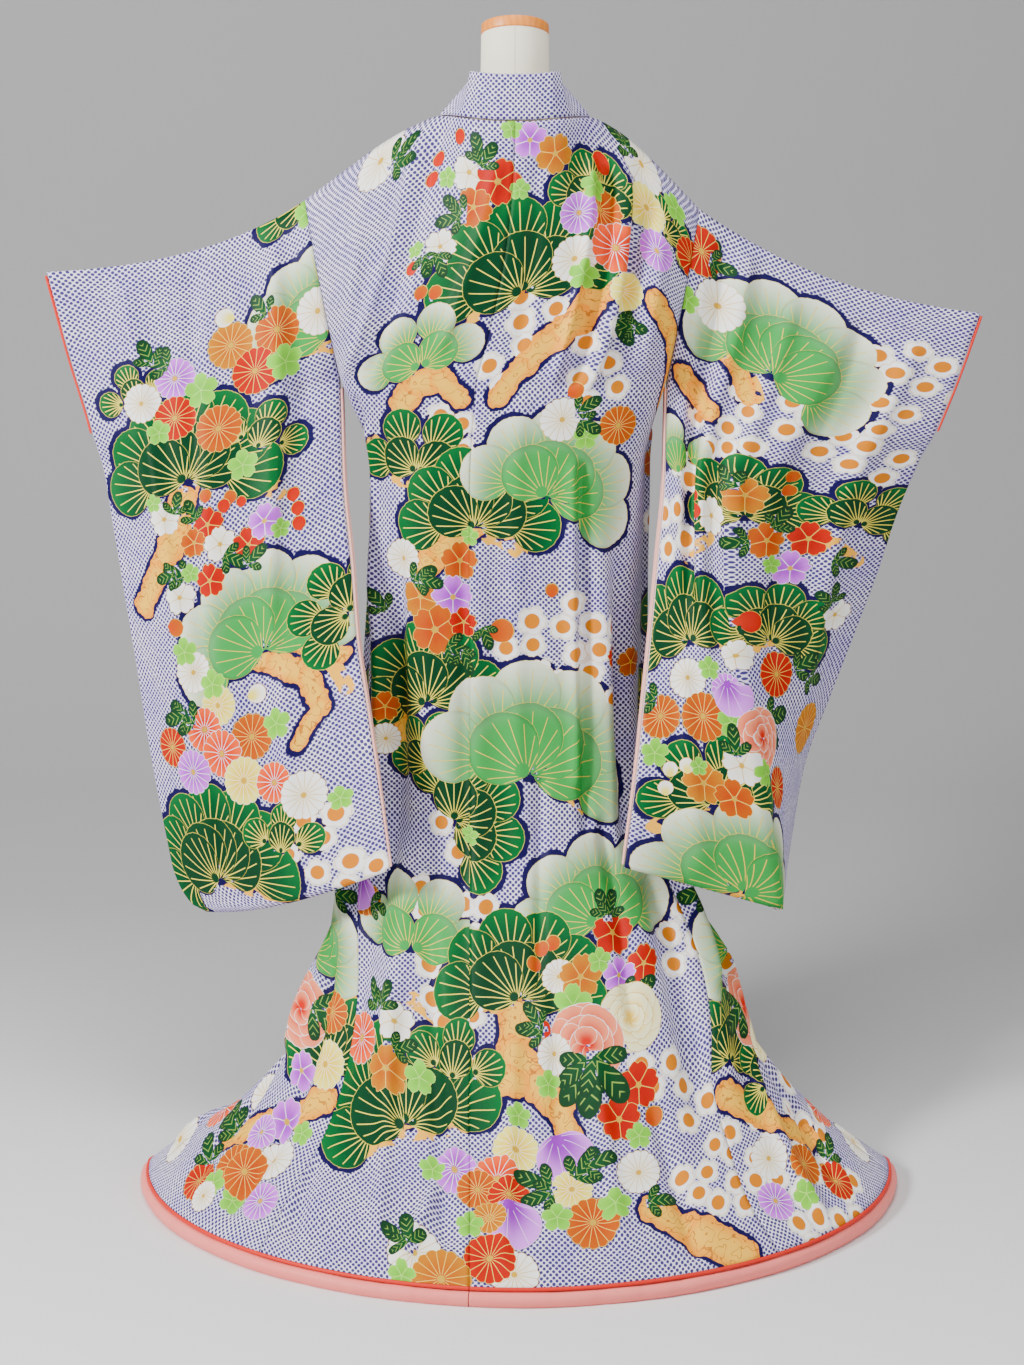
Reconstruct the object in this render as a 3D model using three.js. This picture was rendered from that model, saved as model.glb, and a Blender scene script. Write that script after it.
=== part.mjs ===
// A bridal furisode with a trailing, padded hem, worn by a limbless dress form on a pole and a base.
// Millimetres, +Z up. The garment's back faces +Y and +X is the wearer's left.
// The origin is the middle of the base, on the floor.

import * as THREE from 'three';

// ---------------------------------------------------------------- driving dimensions

const WALL = 2;                 // face silk, thin wadding and lining, as one wall
const SEAM_GAP = 0.3;           // between two pieces that are sewn together
const PRESSED = 0.6 + WALL;     // outer face to the middle, where two layers are pressed together

const ARMPIT = 1075;            // height of the ring that joins the yoke to the skirt
const SLIT_END = 935;           // the side slit under the arm is open from ARMPIT to here
const SLIT_HALF = 10;           // half the slit's opening at the armpit
const RIDGE_HALF = 2;           // half the gap between front and back along the shoulder fold
const YOKE_SHARE = 0.19;        // share of a body panel's length that lies above the armpit
const HEM_EDGE = 24;            // height of the cloth's lower edge, on top of the padded roll

const COLLAR_WIDTH = 62;
const COLLAR_WALL = 3;
const COLLAR_GAP = 1.8;         // the collar stands at an angle to the cloth it is sewn to
const COLLAR_END = 640;         // height at which the collar stops on the front edges

const SLEEVE_SWELL = 15;        // how far each side of a sleeve stands off its middle
const ARMHOLE_SWELL = 24;
const ARMHOLE_SHARE = 0.263;    // share of the sleeve's length that is sewn to the body
const CUFF_SHARE = 0.25;        // share of the outer edge left open for the hand
const CORNER_RADIUS = 62;       // rounded outer corner at the foot of the sleeve
const CREASE_SHARE = 0.42;      // where the sleeve's middle line lies across it
const SLEEVE_LENGTH = 910;
const SLEEVE_WIDTH = 350;
const EDGING_START = 0.006;     // shares down the sleeve at which its coloured edges start and end
const EDGING_END = 0.995;
const EDGING_OFF = 1.2;         // clear of the sleeve's own edge

const ROLL = { halfHigh: 9, halfDeep: 11, out: 1 };
const PIPING_RADIUS = 2.2;
const EDGING_RADIUS = 1.7;

// The body as rings at a height. left and right are the half widths, back, mid and front are the
// Y of the centre back, of the widest place and of the foremost place, edge is half the front
// opening, seam is the X of the centre-back seam, side is the angle of the side seam round from
// the back, overlap is the overlap panel's share of the front, and power is the roundness.
const RINGS = [
  { z: 1075, left: 241, right: 209, back: 104, mid: 20, front: -106,
    edge: 84, seam: 52, side: 90, overlap: 0.00, power: 2.3 },
  { z: 940, left: 196, right: 179, back: 101, mid: 2, front: -116,
    edge: 84, seam: 61, side: 90, overlap: 0.16, power: 2.3 },
  { z: 760, left: 201, right: 177, back: 103, mid: 0, front: -114,
    edge: 86, seam: 62, side: 88, overlap: 0.32, power: 2.3 },
  { z: 615, left: 207, right: 174, back: 110, mid: 2, front: -106,
    edge: 92, seam: 62, side: 84, overlap: 0.39, power: 2.2 },
  { z: 470, left: 208, right: 188, back: 142, mid: 22, front: -86,
    edge: 102, seam: 62, side: 76, overlap: 0.41, power: 2.1 },
  { z: 367, left: 236, right: 234, back: 192, mid: 58, front: -48,
    edge: 116, seam: 61, side: 68, overlap: 0.42, power: 2.0 },
  { z: 276, left: 260, right: 288, back: 258, mid: 98, front: 0,
    edge: 136, seam: 61, side: 60, overlap: 0.42, power: 1.95 },
  { z: 213, left: 283, right: 320, back: 318, mid: 128, front: 38,
    edge: 156, seam: 60, side: 55, overlap: 0.42, power: 1.9 },
  { z: 150, left: 320, right: 348, back: 395, mid: 160, front: 76,
    edge: 188, seam: 60, side: 50, overlap: 0.42, power: 1.85 },
  { z: 95, left: 378, right: 400, back: 482, mid: 198, front: 112,
    edge: 238, seam: 58, side: 46, overlap: 0.42, power: 1.8 },
  { z: 60, left: 443, right: 450, back: 565, mid: 224, front: 136,
    edge: 292, seam: 57, side: 43, overlap: 0.42, power: 1.82 },
  { z: 24, left: 499, right: 509, back: 663, mid: 246, front: 150,
    edge: 338, seam: 56, side: 41, overlap: 0.42, power: 1.92 },
];

// The top line of each side, from the centre back round the neck and out along the shoulder
// fold to the armhole. The neck ends at the fourth row.
const TOP_LINE = {
  left: [
    { x: 0, y: 86, z: 1416 },
    { x: 22, y: 85, z: 1416 },
    { x: 58, y: 73, z: 1419 },
    { x: 101, y: 20, z: 1424 },
    { x: 136, y: 6, z: 1412 },
    { x: 177, y: 2, z: 1390 },
    { x: 232, y: 0, z: 1352 },
    { x: 287, y: 0, z: 1312 },
  ],
  right: [
    { x: 0, y: 86, z: 1416 },
    { x: -22, y: 85, z: 1416 },
    { x: -58, y: 73, z: 1419 },
    { x: -101, y: 20, z: 1422 },
    { x: -134, y: 6, z: 1408 },
    { x: -170, y: 2, z: 1381 },
    { x: -208, y: 0, z: 1345 },
    { x: -252, y: 0, z: 1300 },
  ],
};

// Each sleeve's middle surface: a row per share of its length, with the place of its inner edge,
// of its middle line and of its outer edge. sharp is how sharply it creases at the middle line.
const SLEEVE_ROWS = {
  left: [
    { share: 0.000, sharp: 0, innerX: 287, innerY: 0, innerZ: 1312,
      midX: 411, midY: 0, midZ: 1252, outerX: 643, outerY: 0, outerZ: 1215 },
    { share: 0.130, sharp: 0, innerX: 264, innerY: 9, innerZ: 1193,
      midX: 402, midY: 22, midZ: 1142, outerX: 611, outerY: 8, outerZ: 1100 },
    { share: 0.263, sharp: 0, innerX: 241, innerY: 20, innerZ: 1075,
      midX: 394, midY: 40, midZ: 1026, outerX: 576, outerY: 22, outerZ: 985 },
    { share: 0.420, sharp: 0, innerX: 236, innerY: 44, innerZ: 933,
      midX: 385, midY: 62, midZ: 890, outerX: 553, outerY: 42, outerZ: 855 },
    { share: 0.535, sharp: 0, innerX: 225, innerY: 72, innerZ: 826,
      midX: 375, midY: 78, midZ: 785, outerX: 538, outerY: 52, outerZ: 757 },
    { share: 0.655, sharp: 0, innerX: 216, innerY: 102, innerZ: 719,
      midX: 364, midY: 92, midZ: 677, outerX: 522, outerY: 60, outerZ: 650 },
    { share: 0.745, sharp: 0, innerX: 203, innerY: 130, innerZ: 639,
      midX: 354, midY: 104, midZ: 594, outerX: 511, outerY: 66, outerZ: 570 },
    { share: 0.847, sharp: 0, innerX: 188, innerY: 164, innerZ: 548,
      midX: 342, midY: 118, midZ: 498, outerX: 496, outerY: 72, outerZ: 478 },
    { share: 1.000, sharp: 0, innerX: 169, innerY: 212, innerZ: 424,
      midX: 322, midY: 140, midZ: 354, outerX: 470, outerY: 82, outerZ: 336 },
  ],
  right: [
    { share: 0.000, sharp: 0, innerX: -252, innerY: 0, innerZ: 1300,
      midX: -398, midY: 0, midZ: 1219, outerX: -641, outerY: 0, outerZ: 1159 },
    { share: 0.130, sharp: 0.2, innerX: -231, innerY: 9, innerZ: 1188,
      midX: -372, midY: 24, midZ: 1118, outerX: -610, outerY: 0, outerZ: 1072 },
    { share: 0.263, sharp: 0.5, innerX: -209, innerY: 20, innerZ: 1075,
      midX: -330, midY: 44, midZ: 1016, outerX: -577, outerY: 0, outerZ: 990 },
    { share: 0.420, sharp: 0.9, innerX: -206, innerY: 44, innerZ: 938,
      midX: -292, midY: 72, midZ: 905, outerX: -534, outerY: -2, outerZ: 882 },
    { share: 0.535, sharp: 1, innerX: -196, innerY: 70, innerZ: 826,
      midX: -290, midY: 92, midZ: 806, outerX: -508, outerY: -2, outerZ: 796 },
    { share: 0.655, sharp: 1, innerX: -185, innerY: 100, innerZ: 716,
      midX: -300, midY: 112, midZ: 712, outerX: -477, outerY: -2, outerZ: 708 },
    { share: 0.745, sharp: 1, innerX: -176, innerY: 128, innerZ: 640,
      midX: -312, midY: 128, midZ: 634, outerX: -446, outerY: -2, outerZ: 622 },
    { share: 0.847, sharp: 1, innerX: -165, innerY: 162, innerZ: 545,
      midX: -331, midY: 146, midZ: 526, outerX: -410, outerY: 2, outerZ: 518 },
    { share: 1.000, sharp: 1, innerX: -147, innerY: 214, innerZ: 428,
      midX: -366, midY: 166, midZ: 354, outerX: -384, outerY: 22, outerZ: 352 },
  ],
};

// The largest folds of the skirt. from and to are millimetres round from the centre-back seam, at
// the heights top and bottom between which the fold shows; a fall is a negative rise.
const SKIRT_FOLDS = {
  left: [
    { top: 1060, bottom: 50, from: 9, to: 9, width: 15, rise: -9 },
    { top: 860, bottom: 330, from: 112, to: 120, width: 15, rise: -15 },
    { top: 900, bottom: 300, from: 148, to: 160, width: 18, rise: 9 },
    { top: 470, bottom: 90, from: 78, to: 130, width: 24, rise: 15 },
    { top: 450, bottom: 70, from: 122, to: 220, width: 24, rise: -13 },
    { top: 460, bottom: 110, from: 205, to: 330, width: 28, rise: 15 },
    { top: 860, bottom: 120, from: 262, to: 520, width: 26, rise: -13 },
    { top: 940, bottom: 260, from: 330, to: 560, width: 22, rise: 11 },
  ],
  right: [
    { top: 1060, bottom: 50, from: 10, to: 10, width: 17, rise: 9 },
    { top: 330, bottom: 90, from: 112, to: 118, width: 11, rise: -10 },
    { top: 900, bottom: 390, from: 178, to: 205, width: 15, rise: 13 },
    { top: 880, bottom: 380, from: 206, to: 236, width: 15, rise: -17 },
    { top: 430, bottom: 80, from: 255, to: 330, width: 18, rise: -18 },
    { top: 420, bottom: 90, from: 300, to: 395, width: 22, rise: 12 },
    { top: 300, bottom: 70, from: 400, to: 500, width: 22, rise: -15 },
    { top: 900, bottom: 200, from: 352, to: 610, width: 26, rise: 13 },
    { top: 820, bottom: 240, from: 400, to: 650, width: 22, rise: -10 },
  ],
};

// The largest pleats of the yoke, as shares across from the centre back and down from the shoulder.
const YOKE_FOLDS = {
  left: [
    { top: 0.04, bottom: 0.72, from: 0.50, to: 0.62, width: 0.05, rise: -7 },
    { top: 0.10, bottom: 0.98, from: 0.72, to: 0.82, width: 0.05, rise: 7 },
  ],
  right: [
    { top: 0.05, bottom: 0.99, from: 0.66, to: 0.62, width: 0.05, rise: -15 },
    { top: 0.05, bottom: 0.99, from: 0.55, to: 0.52, width: 0.05, rise: 9 },
    { top: 0.08, bottom: 0.99, from: 0.80, to: 0.78, width: 0.05, rise: 9 },
  ],
};

// The largest folds of the sleeves, as shares across from the inner edge and down from the top.
const SLEEVE_FOLDS = {
  left: [
    { top: 0.03, bottom: 0.60, from: 0.20, to: 0.34, width: 0.06, rise: 8 },
    { top: 0.02, bottom: 0.42, from: 0.10, to: 0.16, width: 0.05, rise: -8 },
    { top: 0.05, bottom: 0.75, from: 0.52, to: 0.60, width: 0.08, rise: 6 },
    { top: 0.40, bottom: 0.98, from: 0.36, to: 0.42, width: 0.08, rise: -6 },
  ],
  right: [
    { top: 0.02, bottom: 0.60, from: 0.12, to: 0.20, width: 0.05, rise: -9 },
    { top: 0.05, bottom: 0.85, from: 0.24, to: 0.28, width: 0.05, rise: 7 },
    { top: 0.03, bottom: 0.45, from: 0.58, to: 0.52, width: 0.07, rise: 8 },
    { top: 0.10, bottom: 0.60, from: 0.74, to: 0.66, width: 0.07, rise: -8 },
  ],
};

// How the collar leans away from its seam: parts inwards, forwards and up, by millimetres of
// collar from the centre back.
const COLLAR_LEAN = [
  { run: 0, inward: 0, forward: 0.28, up: 0.96 },
  { run: 60, inward: 0.06, forward: 0.25, up: 0.96 },
  { run: 125, inward: 0.64, forward: 0.15, up: 0.75 },
  { run: 180, inward: 0.68, forward: 0.32, up: 0.6 },
  { run: 240, inward: 0.92, forward: 0.16, up: 0.32 },
  { run: 340, inward: 0.98, forward: 0.12, up: 0.12 },
  { run: 480, inward: 0.99, forward: 0.10, up: 0.02 },
  { run: 1000, inward: 0.98, forward: 0.16, up: 0 },
];

// The dress form's rings: half width, and Y of its back and front.
const FORM_RINGS = [
  { z: 780, half: 148, back: 76, front: -92 },
  { z: 840, half: 152, back: 80, front: -94 },
  { z: 950, half: 122, back: 66, front: -78 },
  { z: 1040, half: 116, back: 66, front: -84 },
  { z: 1150, half: 138, back: 84, front: -84 },
  { z: 1230, half: 152, back: 84, front: -70 },
  { z: 1300, half: 166, back: 76, front: -48 },
  { z: 1350, half: 162, back: 60, front: -30 },
  { z: 1385, half: 118, back: 50, front: -22 },
  { z: 1408, half: 76, back: 48, front: -22 },
  { z: 1432, half: 54, back: 48, front: -30 },
  { z: 1470, half: 47, back: 42, front: -46 },
  { z: 1530, half: 46, back: 32, front: -56 },
];
const NECK_TILT = 15;           // degrees that the neck's top leans forward
const NECK_TILT_FROM = 1440;    // height at which the lean starts
const CAP = { radius: 46, thick: 15 };
const POLE = { radius: 13, top: 779.6 };
const BASE = { radius: 150, high: 16 };

const SILK = { color: 0xd4d2ea, roughness: 0.55, metalness: 0 };
const PINK = { color: 0xf3a29c, roughness: 0.6, metalness: 0 };
const RED = { color: 0xe8563f, roughness: 0.55, metalness: 0 };
const CANVAS = { color: 0xe8e3d7, roughness: 0.85, metalness: 0 };
const WOOD = { color: 0xc98f5c, roughness: 0.45, metalness: 0 };
const STEEL = { color: 0x55565a, roughness: 0.4, metalness: 0.8 };

// ---------------------------------------------------------------- numbers and curves

const lerp = THREE.MathUtils.lerp;
const clamp = THREE.MathUtils.clamp;
const smooth = THREE.MathUtils.smoothstep;
const vector = (x, y, z) => new THREE.Vector3(x, y, z);

// Reads a column of a table at a place between its rows, on a curve that never overshoots.
function read(table, key, at, column) {
  const rising = table[table.length - 1][key] > table[0][key];
  const last = table.length - 2;
  let row = 0;
  while (row < last && (rising ? at > table[row + 1][key] : at < table[row + 1][key])) row += 1;
  const slope = (k) => {
    const [upper, lower] = [table[k], table[k + 1]];
    return (lower[column] - upper[column]) / (lower[key] - upper[key]);
  };
  const tangent = (k) => {
    if (k === 0) return slope(0);
    if (k === table.length - 1) return slope(k - 1);
    const before = slope(k - 1);
    const after = slope(k);
    return before * after <= 0 ? 0 : (2 * before * after) / (before + after);
  };
  const span = table[row + 1][key] - table[row][key];
  const t = (at - table[row][key]) / span;
  const start = table[row][column];
  const end = table[row + 1][column];
  const bend = t * (1 - t) * span;
  return lerp(start, end, t * t * (3 - 2 * t))
    + bend * ((1 - t) * tangent(row) - t * tangent(row + 1));
}

// ---------------------------------------------------------------- the body's surface

const ringCache = new Map();

// One ring of the skirt: its shape, and how its length runs from the seam to each front edge.
function ring(z) {
  if (ringCache.has(z)) return ringCache.get(z);
  const at = (column) => read(RINGS, 'z', z, column);
  const centre = (at('left') - at('right')) / 2;
  const half = (at('left') + at('right')) / 2;
  const [back, mid, front, power] = [at('back'), at('mid'), at('front'), at('power')];
  const bend = (value) => Math.sign(value) * Math.abs(value) ** (2 / power);
  const point = (angle) => {
    const deep = Math.cos(angle) > 0 ? back - mid : mid - front;
    return new THREE.Vector2(
      centre + half * bend(Math.sin(angle)),
      mid + deep * bend(Math.cos(angle)),
    );
  };
  const angleAt = (x) => {
    const out = (x - centre) / half;
    return Math.asin(Math.sign(out) * Math.abs(out) ** (power / 2));
  };
  const seam = angleAt(at('seam'));
  const sides = {};
  for (const [side, sign] of [['left', 1], ['right', -1]]) {
    const edge = sign * Math.PI - angleAt(sign * at('edge'));
    const steps = 72;
    const angles = [seam];
    const runs = [0];
    let previous = point(seam);
    for (let k = 1; k <= steps; k += 1) {
      const angle = lerp(seam, edge, k / steps);
      const next = point(angle);
      angles.push(angle);
      runs.push(runs[k - 1] + next.distanceTo(previous));
      previous = next;
    }
    const sideAngle = sign * at('side') * Math.PI / 180;
    const total = runs[steps];
    const sideSpot = clamp((sideAngle - seam) / (edge - seam), 0, 1) * steps;
    const low = Math.floor(sideSpot);
    const sideShare = lerp(runs[low], runs[low + 1], sideSpot - low) / total;
    sides[side] = { angles, runs, total, sideShare };
  }
  const made = { z, point, sides, overlap: at('overlap') };
  ringCache.set(z, made);
  return made;
}

// The angle on a ring at a share of the way from the centre-back seam to a front edge. Shares past
// the ends go on along the ring.
function angleOnRing(made, side, share) {
  const { angles, runs, total } = made.sides[side];
  const run = share * total;
  let k = 0;
  while (k < runs.length - 2 && runs[k + 1] < run) k += 1;
  return lerp(angles[k], angles[k + 1], (run - runs[k]) / (runs[k + 1] - runs[k]));
}

function foldRise(side, z, run) {
  let rise = 0;
  for (const fold of SKIRT_FOLDS[side]) {
    const down = (fold.top - z) / (fold.top - fold.bottom);
    if (down <= 0 || down >= 1) continue;
    const away = (run - lerp(fold.from, fold.to, down)) / fold.width;
    const fade = smooth(down, 0, 0.28) * (1 - smooth(down, 0.72, 1));
    rise += fold.rise * fade * Math.exp(-away * away);
  }
  return rise;
}

// A point of the skirt. The folds stand out sideways on the hanging cloth and upwards on the train.
function skirtPoint(side, share, z) {
  const made = ring(z);
  const angle = angleOnRing(made, side, share);
  const place = made.point(angle);
  const ahead = made.point(angle + 0.01).sub(made.point(angle - 0.01)).normalize();
  const rise = foldRise(side, z, share * made.sides[side].total);
  const upright = smooth(z, 60, 260);
  const sideways = rise * upright;
  return vector(place.x - ahead.y * sideways, place.y + ahead.x * sideways, z + rise - sideways);
}

// Runs of cloth down the skirt, half way between the centre back's and the side's.
const skirtRuns = (() => {
  const rows = [{ run: 0, z: ARMPIT }];
  const steps = 240;
  for (let k = 1; k <= steps; k += 1) {
    const z = lerp(ARMPIT, HEM_EDGE, k / steps);
    const before = rows[k - 1].z;
    const move = (column) => Math.abs(read(RINGS, 'z', z, column) - read(RINGS, 'z', before, column));
    const outwards = (move('back') + move('left') + move('right')) / 3;
    rows.push({ run: rows[k - 1].run + Math.hypot(before - z, outwards), z });
  }
  return rows;
})();

function skirtHeight(share) {
  const run = share * skirtRuns[skirtRuns.length - 1].run;
  let k = 0;
  while (k < skirtRuns.length - 2 && skirtRuns[k + 1].run < run) k += 1;
  const row = skirtRuns[k];
  const next = skirtRuns[k + 1];
  return lerp(row.z, next.z, (run - row.run) / (next.run - row.run));
}

// Each top line's rows get the share of its length that they lie at.
for (const line of Object.values(TOP_LINE)) {
  let run = 0;
  line.forEach((row, k) => {
    const before = line[Math.max(k - 1, 0)];
    run += Math.hypot(row.x - before.x, row.y - before.y, row.z - before.z);
    row.share = run;
  });
  line.forEach((row) => { row.share /= run; });
}
const NECK_ROW = 3;

function topPoint(side, share) {
  const at = (column) => read(TOP_LINE[side], 'share', share, column);
  return vector(at('x'), at('y'), at('z'));
}

const roundOver = (down) => Math.sin(clamp(down, 0, 1) * Math.PI / 2) ** 0.62;

// Half the armhole's depth, down from the shoulder fold to the armpit.
function armholeHalf(down) {
  const part = clamp(down, 0, 1);
  return RIDGE_HALF * (1 - part) + ARMHOLE_SWELL * Math.sin(Math.PI * part) ** 0.8 + SLIT_HALF * part;
}

function foldOn(folds, across, down) {
  let rise = 0;
  for (const fold of folds) {
    const part = (down - fold.top) / (fold.bottom - fold.top);
    if (part <= 0 || part >= 1) continue;
    const away = (across - lerp(fold.from, fold.to, part)) / fold.width;
    rise += fold.rise * Math.sin(Math.PI * part) ** 0.7 * Math.exp(-away * away);
  }
  return rise;
}

// A point of the yoke. across runs from the centre back to the armhole on the back, and from the
// armhole to the collar on the front.
function yokePoint(side, face, across, down) {
  const onBack = face === 'back';
  const { sideShare } = ring(ARMPIT).sides[side];
  const topShare = onBack ? across : lerp(1, TOP_LINE[side][NECK_ROW].share, across);
  const ringShare = onBack ? across * sideShare : lerp(sideShare, 1, across);
  const top = topPoint(side, clamp(topShare, 0, 1));
  const foot = skirtPoint(side, ringShare, ARMPIT);
  const nearArm = (onBack ? across : 1 - across) ** 3;
  const sign = onBack ? 1 : -1;
  const part = lerp(down * down, down, nearArm);
  const swell = lerp(RIDGE_HALF * (1 - clamp(down, 0, 1)), armholeHalf(down), clamp(nearArm, 0, 1));
  const fold = onBack ? foldOn(YOKE_FOLDS[side], across, down) : 0;
  return vector(
    lerp(top.x, foot.x, onBack ? part : down),
    lerp(top.y, foot.y, roundOver(down)) + sign * swell + fold,
    lerp(top.z, foot.z, down),
  );
}

// The share of the way round each half ring at which a panel starts and ends.
function panelShares(side, panel, z) {
  const made = ring(z);
  const { sideShare } = made.sides[side];
  const overlapSeam = 1 - (1 - sideShare) * made.overlap;
  if (panel === 'back') return [0, sideShare];
  if (panel === 'front') return [sideShare, overlapSeam];
  return [overlapSeam, 1];
}

// The outer face of a body panel, across it and down it.
function bodySurface(side, panel) {
  return (across, down) => {
    if (down < YOKE_SHARE && panel !== 'overlap') return yokePoint(side, panel, across, down / YOKE_SHARE);
    const z = skirtHeight((down - YOKE_SHARE) / (1 - YOKE_SHARE));
    const [start, end] = panelShares(side, panel, z);
    const place = skirtPoint(side, lerp(start, end, across), z);
    const open = SLIT_HALF * smooth(z, SLIT_END, ARMPIT);
    if (panel === 'back') place.y += open * clamp(across, 0, 1) ** 3;
    if (panel === 'front') place.y -= open * clamp(1 - across, 0, 1) ** 3;
    return place;
  };
}

// ---------------------------------------------------------------- the sleeves' surface

function armholeMiddle(side, down) {
  const top = topPoint(side, 1);
  const made = ring(ARMPIT);
  const foot = skirtPoint(side, made.sides[side].sideShare, ARMPIT);
  return vector(
    lerp(top.x, foot.x, down),
    lerp(top.y, foot.y, roundOver(down)),
    lerp(top.z, foot.z, down),
  );
}

// The middle surface between a sleeve's two sides.
function sleeveMiddle(side, acrossAll, down) {
  const rows = SLEEVE_ROWS[side];
  const at = (column) => read(rows, 'share', down, column);
  const cornerStart = 1 - CORNER_RADIUS / SLEEVE_LENGTH;
  const intoCorner = clamp((down - cornerStart) / (1 - cornerStart), 0, 1);
  const pulledIn = (CORNER_RADIUS / SLEEVE_WIDTH) * (1 - Math.sqrt(1 - intoCorner ** 2));
  const across = acrossAll * (1 - pulledIn);
  const inner = down < ARMHOLE_SHARE && down >= 0
    ? armholeMiddle(side, down / ARMHOLE_SHARE)
    : vector(at('innerX'), at('innerY'), at('innerZ'));
  const middle = vector(at('midX'), at('midY'), at('midZ'));
  const outer = vector(at('outerX'), at('outerY'), at('outerZ'));
  const m = CREASE_SHARE;
  const curved = inner.clone().multiplyScalar((across - m) * (across - 1) / m)
    .addScaledVector(middle, across * (across - 1) / (m * (m - 1)))
    .addScaledVector(outer, across * (across - m) / (1 - m));
  const creased = across < m
    ? inner.clone().lerp(middle, across / m)
    : middle.clone().lerp(outer, (across - m) / (1 - m));
  return curved.lerp(creased, at('sharp'));
}

// How far one side of a sleeve stands off its middle: open at the cuff, the armhole and the inner
// edge, and pressed together along the top, the foot and the sewn outer edge.
function sleeveHalf(across, down) {
  const part = clamp(down, 0, 1);
  const fall = Math.sin(Math.PI * part) ** 0.6;
  const cuffOpen = 1 - smooth(part, CUFF_SHARE, CUFF_SHARE + 0.06);
  const outerEdge = lerp(1 - smooth(across, 0.75, 1), 1, cuffOpen);
  const bow = 0.85 + 0.15 * Math.sin(Math.PI * clamp(across, 0, 1));
  const inside = PRESSED + SLEEVE_SWELL * fall * outerEdge * bow;
  if (part > ARMHOLE_SHARE + 0.05) return inside;
  const sewn = (1 - smooth(across, 0, 0.3)) * (1 - smooth(part, ARMHOLE_SHARE, ARMHOLE_SHARE + 0.05));
  return lerp(inside, Math.max(armholeHalf(part / ARMHOLE_SHARE), PRESSED), sewn);
}

// The outer face of a sleeve's back or front.
function sleeveSurface(side, face) {
  const turn = side === 'left' ? 1 : -1;
  const sign = face === 'back' ? 1 : -1;
  return (across, down) => {
    const step = 0.004;
    const along = sleeveMiddle(side, across + step, down).sub(sleeveMiddle(side, across - step, down));
    const lower = Math.min(down + step, 1);
    const upper = Math.max(down - step, 0);
    const fall = sleeveMiddle(side, across, lower).sub(sleeveMiddle(side, across, upper));
    const normal = along.cross(fall).multiplyScalar(turn).normalize();
    const off = vector(0, 1, 0).lerp(normal, smooth(across, 0, 0.25)).normalize();
    const fold = foldOn(SLEEVE_FOLDS[side], across, down);
    return sleeveMiddle(side, across, down).addScaledVector(off, sign * sleeveHalf(across, down) + fold);
  };
}

// ---------------------------------------------------------------- solids

function mesh(name, finish, positions, triangles) {
  const geometry = new THREE.BufferGeometry();
  geometry.setAttribute('position', new THREE.Float32BufferAttribute(positions, 3));
  geometry.setIndex(triangles);
  geometry.computeVertexNormals();
  const made = new THREE.Mesh(geometry, new THREE.MeshStandardMaterial(finish));
  made.name = name;
  return made;
}

// A closed body from rows of points that go round it, each row a closed loop, with flat ends.
function loft(name, finish, loops) {
  const positions = loops.flat().flatMap((p) => [p.x, p.y, p.z]);
  const around = loops[0].length;
  const triangles = [];
  for (let row = 0; row < loops.length - 1; row += 1) {
    for (let k = 0; k < around; k += 1) {
      const next = (k + 1) % around;
      const above = row * around;
      const below = above + around;
      triangles.push(above + k, above + next, below + k, above + next, below + next, below + k);
    }
  }
  const last = (loops.length - 1) * around;
  for (let k = 1; k < around - 1; k += 1) {
    triangles.push(0, k + 1, k);
    triangles.push(last, last + k, last + k + 1);
  }
  return turnedOut(name, finish, positions, triangles);
}

// Turns a closed body's triangles round if they point inwards.
function turnedOut(name, finish, positions, triangles) {
  const corner = (k) => vector(positions[3 * k], positions[3 * k + 1], positions[3 * k + 2]);
  let volume = 0;
  for (let k = 0; k < triangles.length; k += 3) {
    volume += corner(triangles[k]).dot(corner(triangles[k + 1]).cross(corner(triangles[k + 2])));
  }
  if (volume < 0) triangles.reverse();
  return mesh(name, finish, positions, triangles);
}

// A wall of cloth inside the outer face surface(across, down). turn is 1 where across, then down,
// turns about the outward direction, and -1 where it turns the other way.
function clothWall(name, finish, surface, { across, down, turn, thick = WALL, raise = 0 }) {
  const step = 0.002;
  const [firstAcross, lastAcross] = [across[0], across[across.length - 1]];
  const [firstDown, lastDown] = [down[0], down[down.length - 1]];
  const outer = [];
  const inner = [];
  for (const d of down) {
    for (const a of across) {
      const along = surface(Math.min(a + step, lastAcross), d)
        .sub(surface(Math.max(a - step, firstAcross), d));
      const fall = surface(a, Math.min(d + step, lastDown))
        .sub(surface(a, Math.max(d - step, firstDown)));
      const normal = along.cross(fall).multiplyScalar(turn).normalize();
      const place = surface(a, d).addScaledVector(normal, raise);
      outer.push(place);
      inner.push(place.clone().addScaledVector(normal, -thick));
    }
  }
  const positions = [...outer, ...inner].flatMap((p) => [p.x, p.y, p.z]);
  const wide = across.length;
  const high = down.length;
  const under = wide * high;
  const triangles = [];
  const quad = (a, b, c, d) => triangles.push(a, b, c, a, c, d);
  for (let row = 0; row < high - 1; row += 1) {
    for (let k = 0; k < wide - 1; k += 1) {
      const spot = row * wide + k;
      quad(spot, spot + wide, spot + wide + 1, spot + 1);
      quad(under + spot, under + spot + 1, under + spot + wide + 1, under + spot + wide);
    }
    const left = row * wide;
    const right = left + wide - 1;
    quad(left, under + left, under + left + wide, left + wide);
    quad(right, right + wide, under + right + wide, under + right);
  }
  for (let k = 0; k < wide - 1; k += 1) {
    const low = (high - 1) * wide + k;
    quad(k, k + 1, under + k + 1, under + k);
    quad(low, under + low, under + low + 1, low + 1);
  }
  return turnedOut(name, finish, positions, triangles);
}

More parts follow.
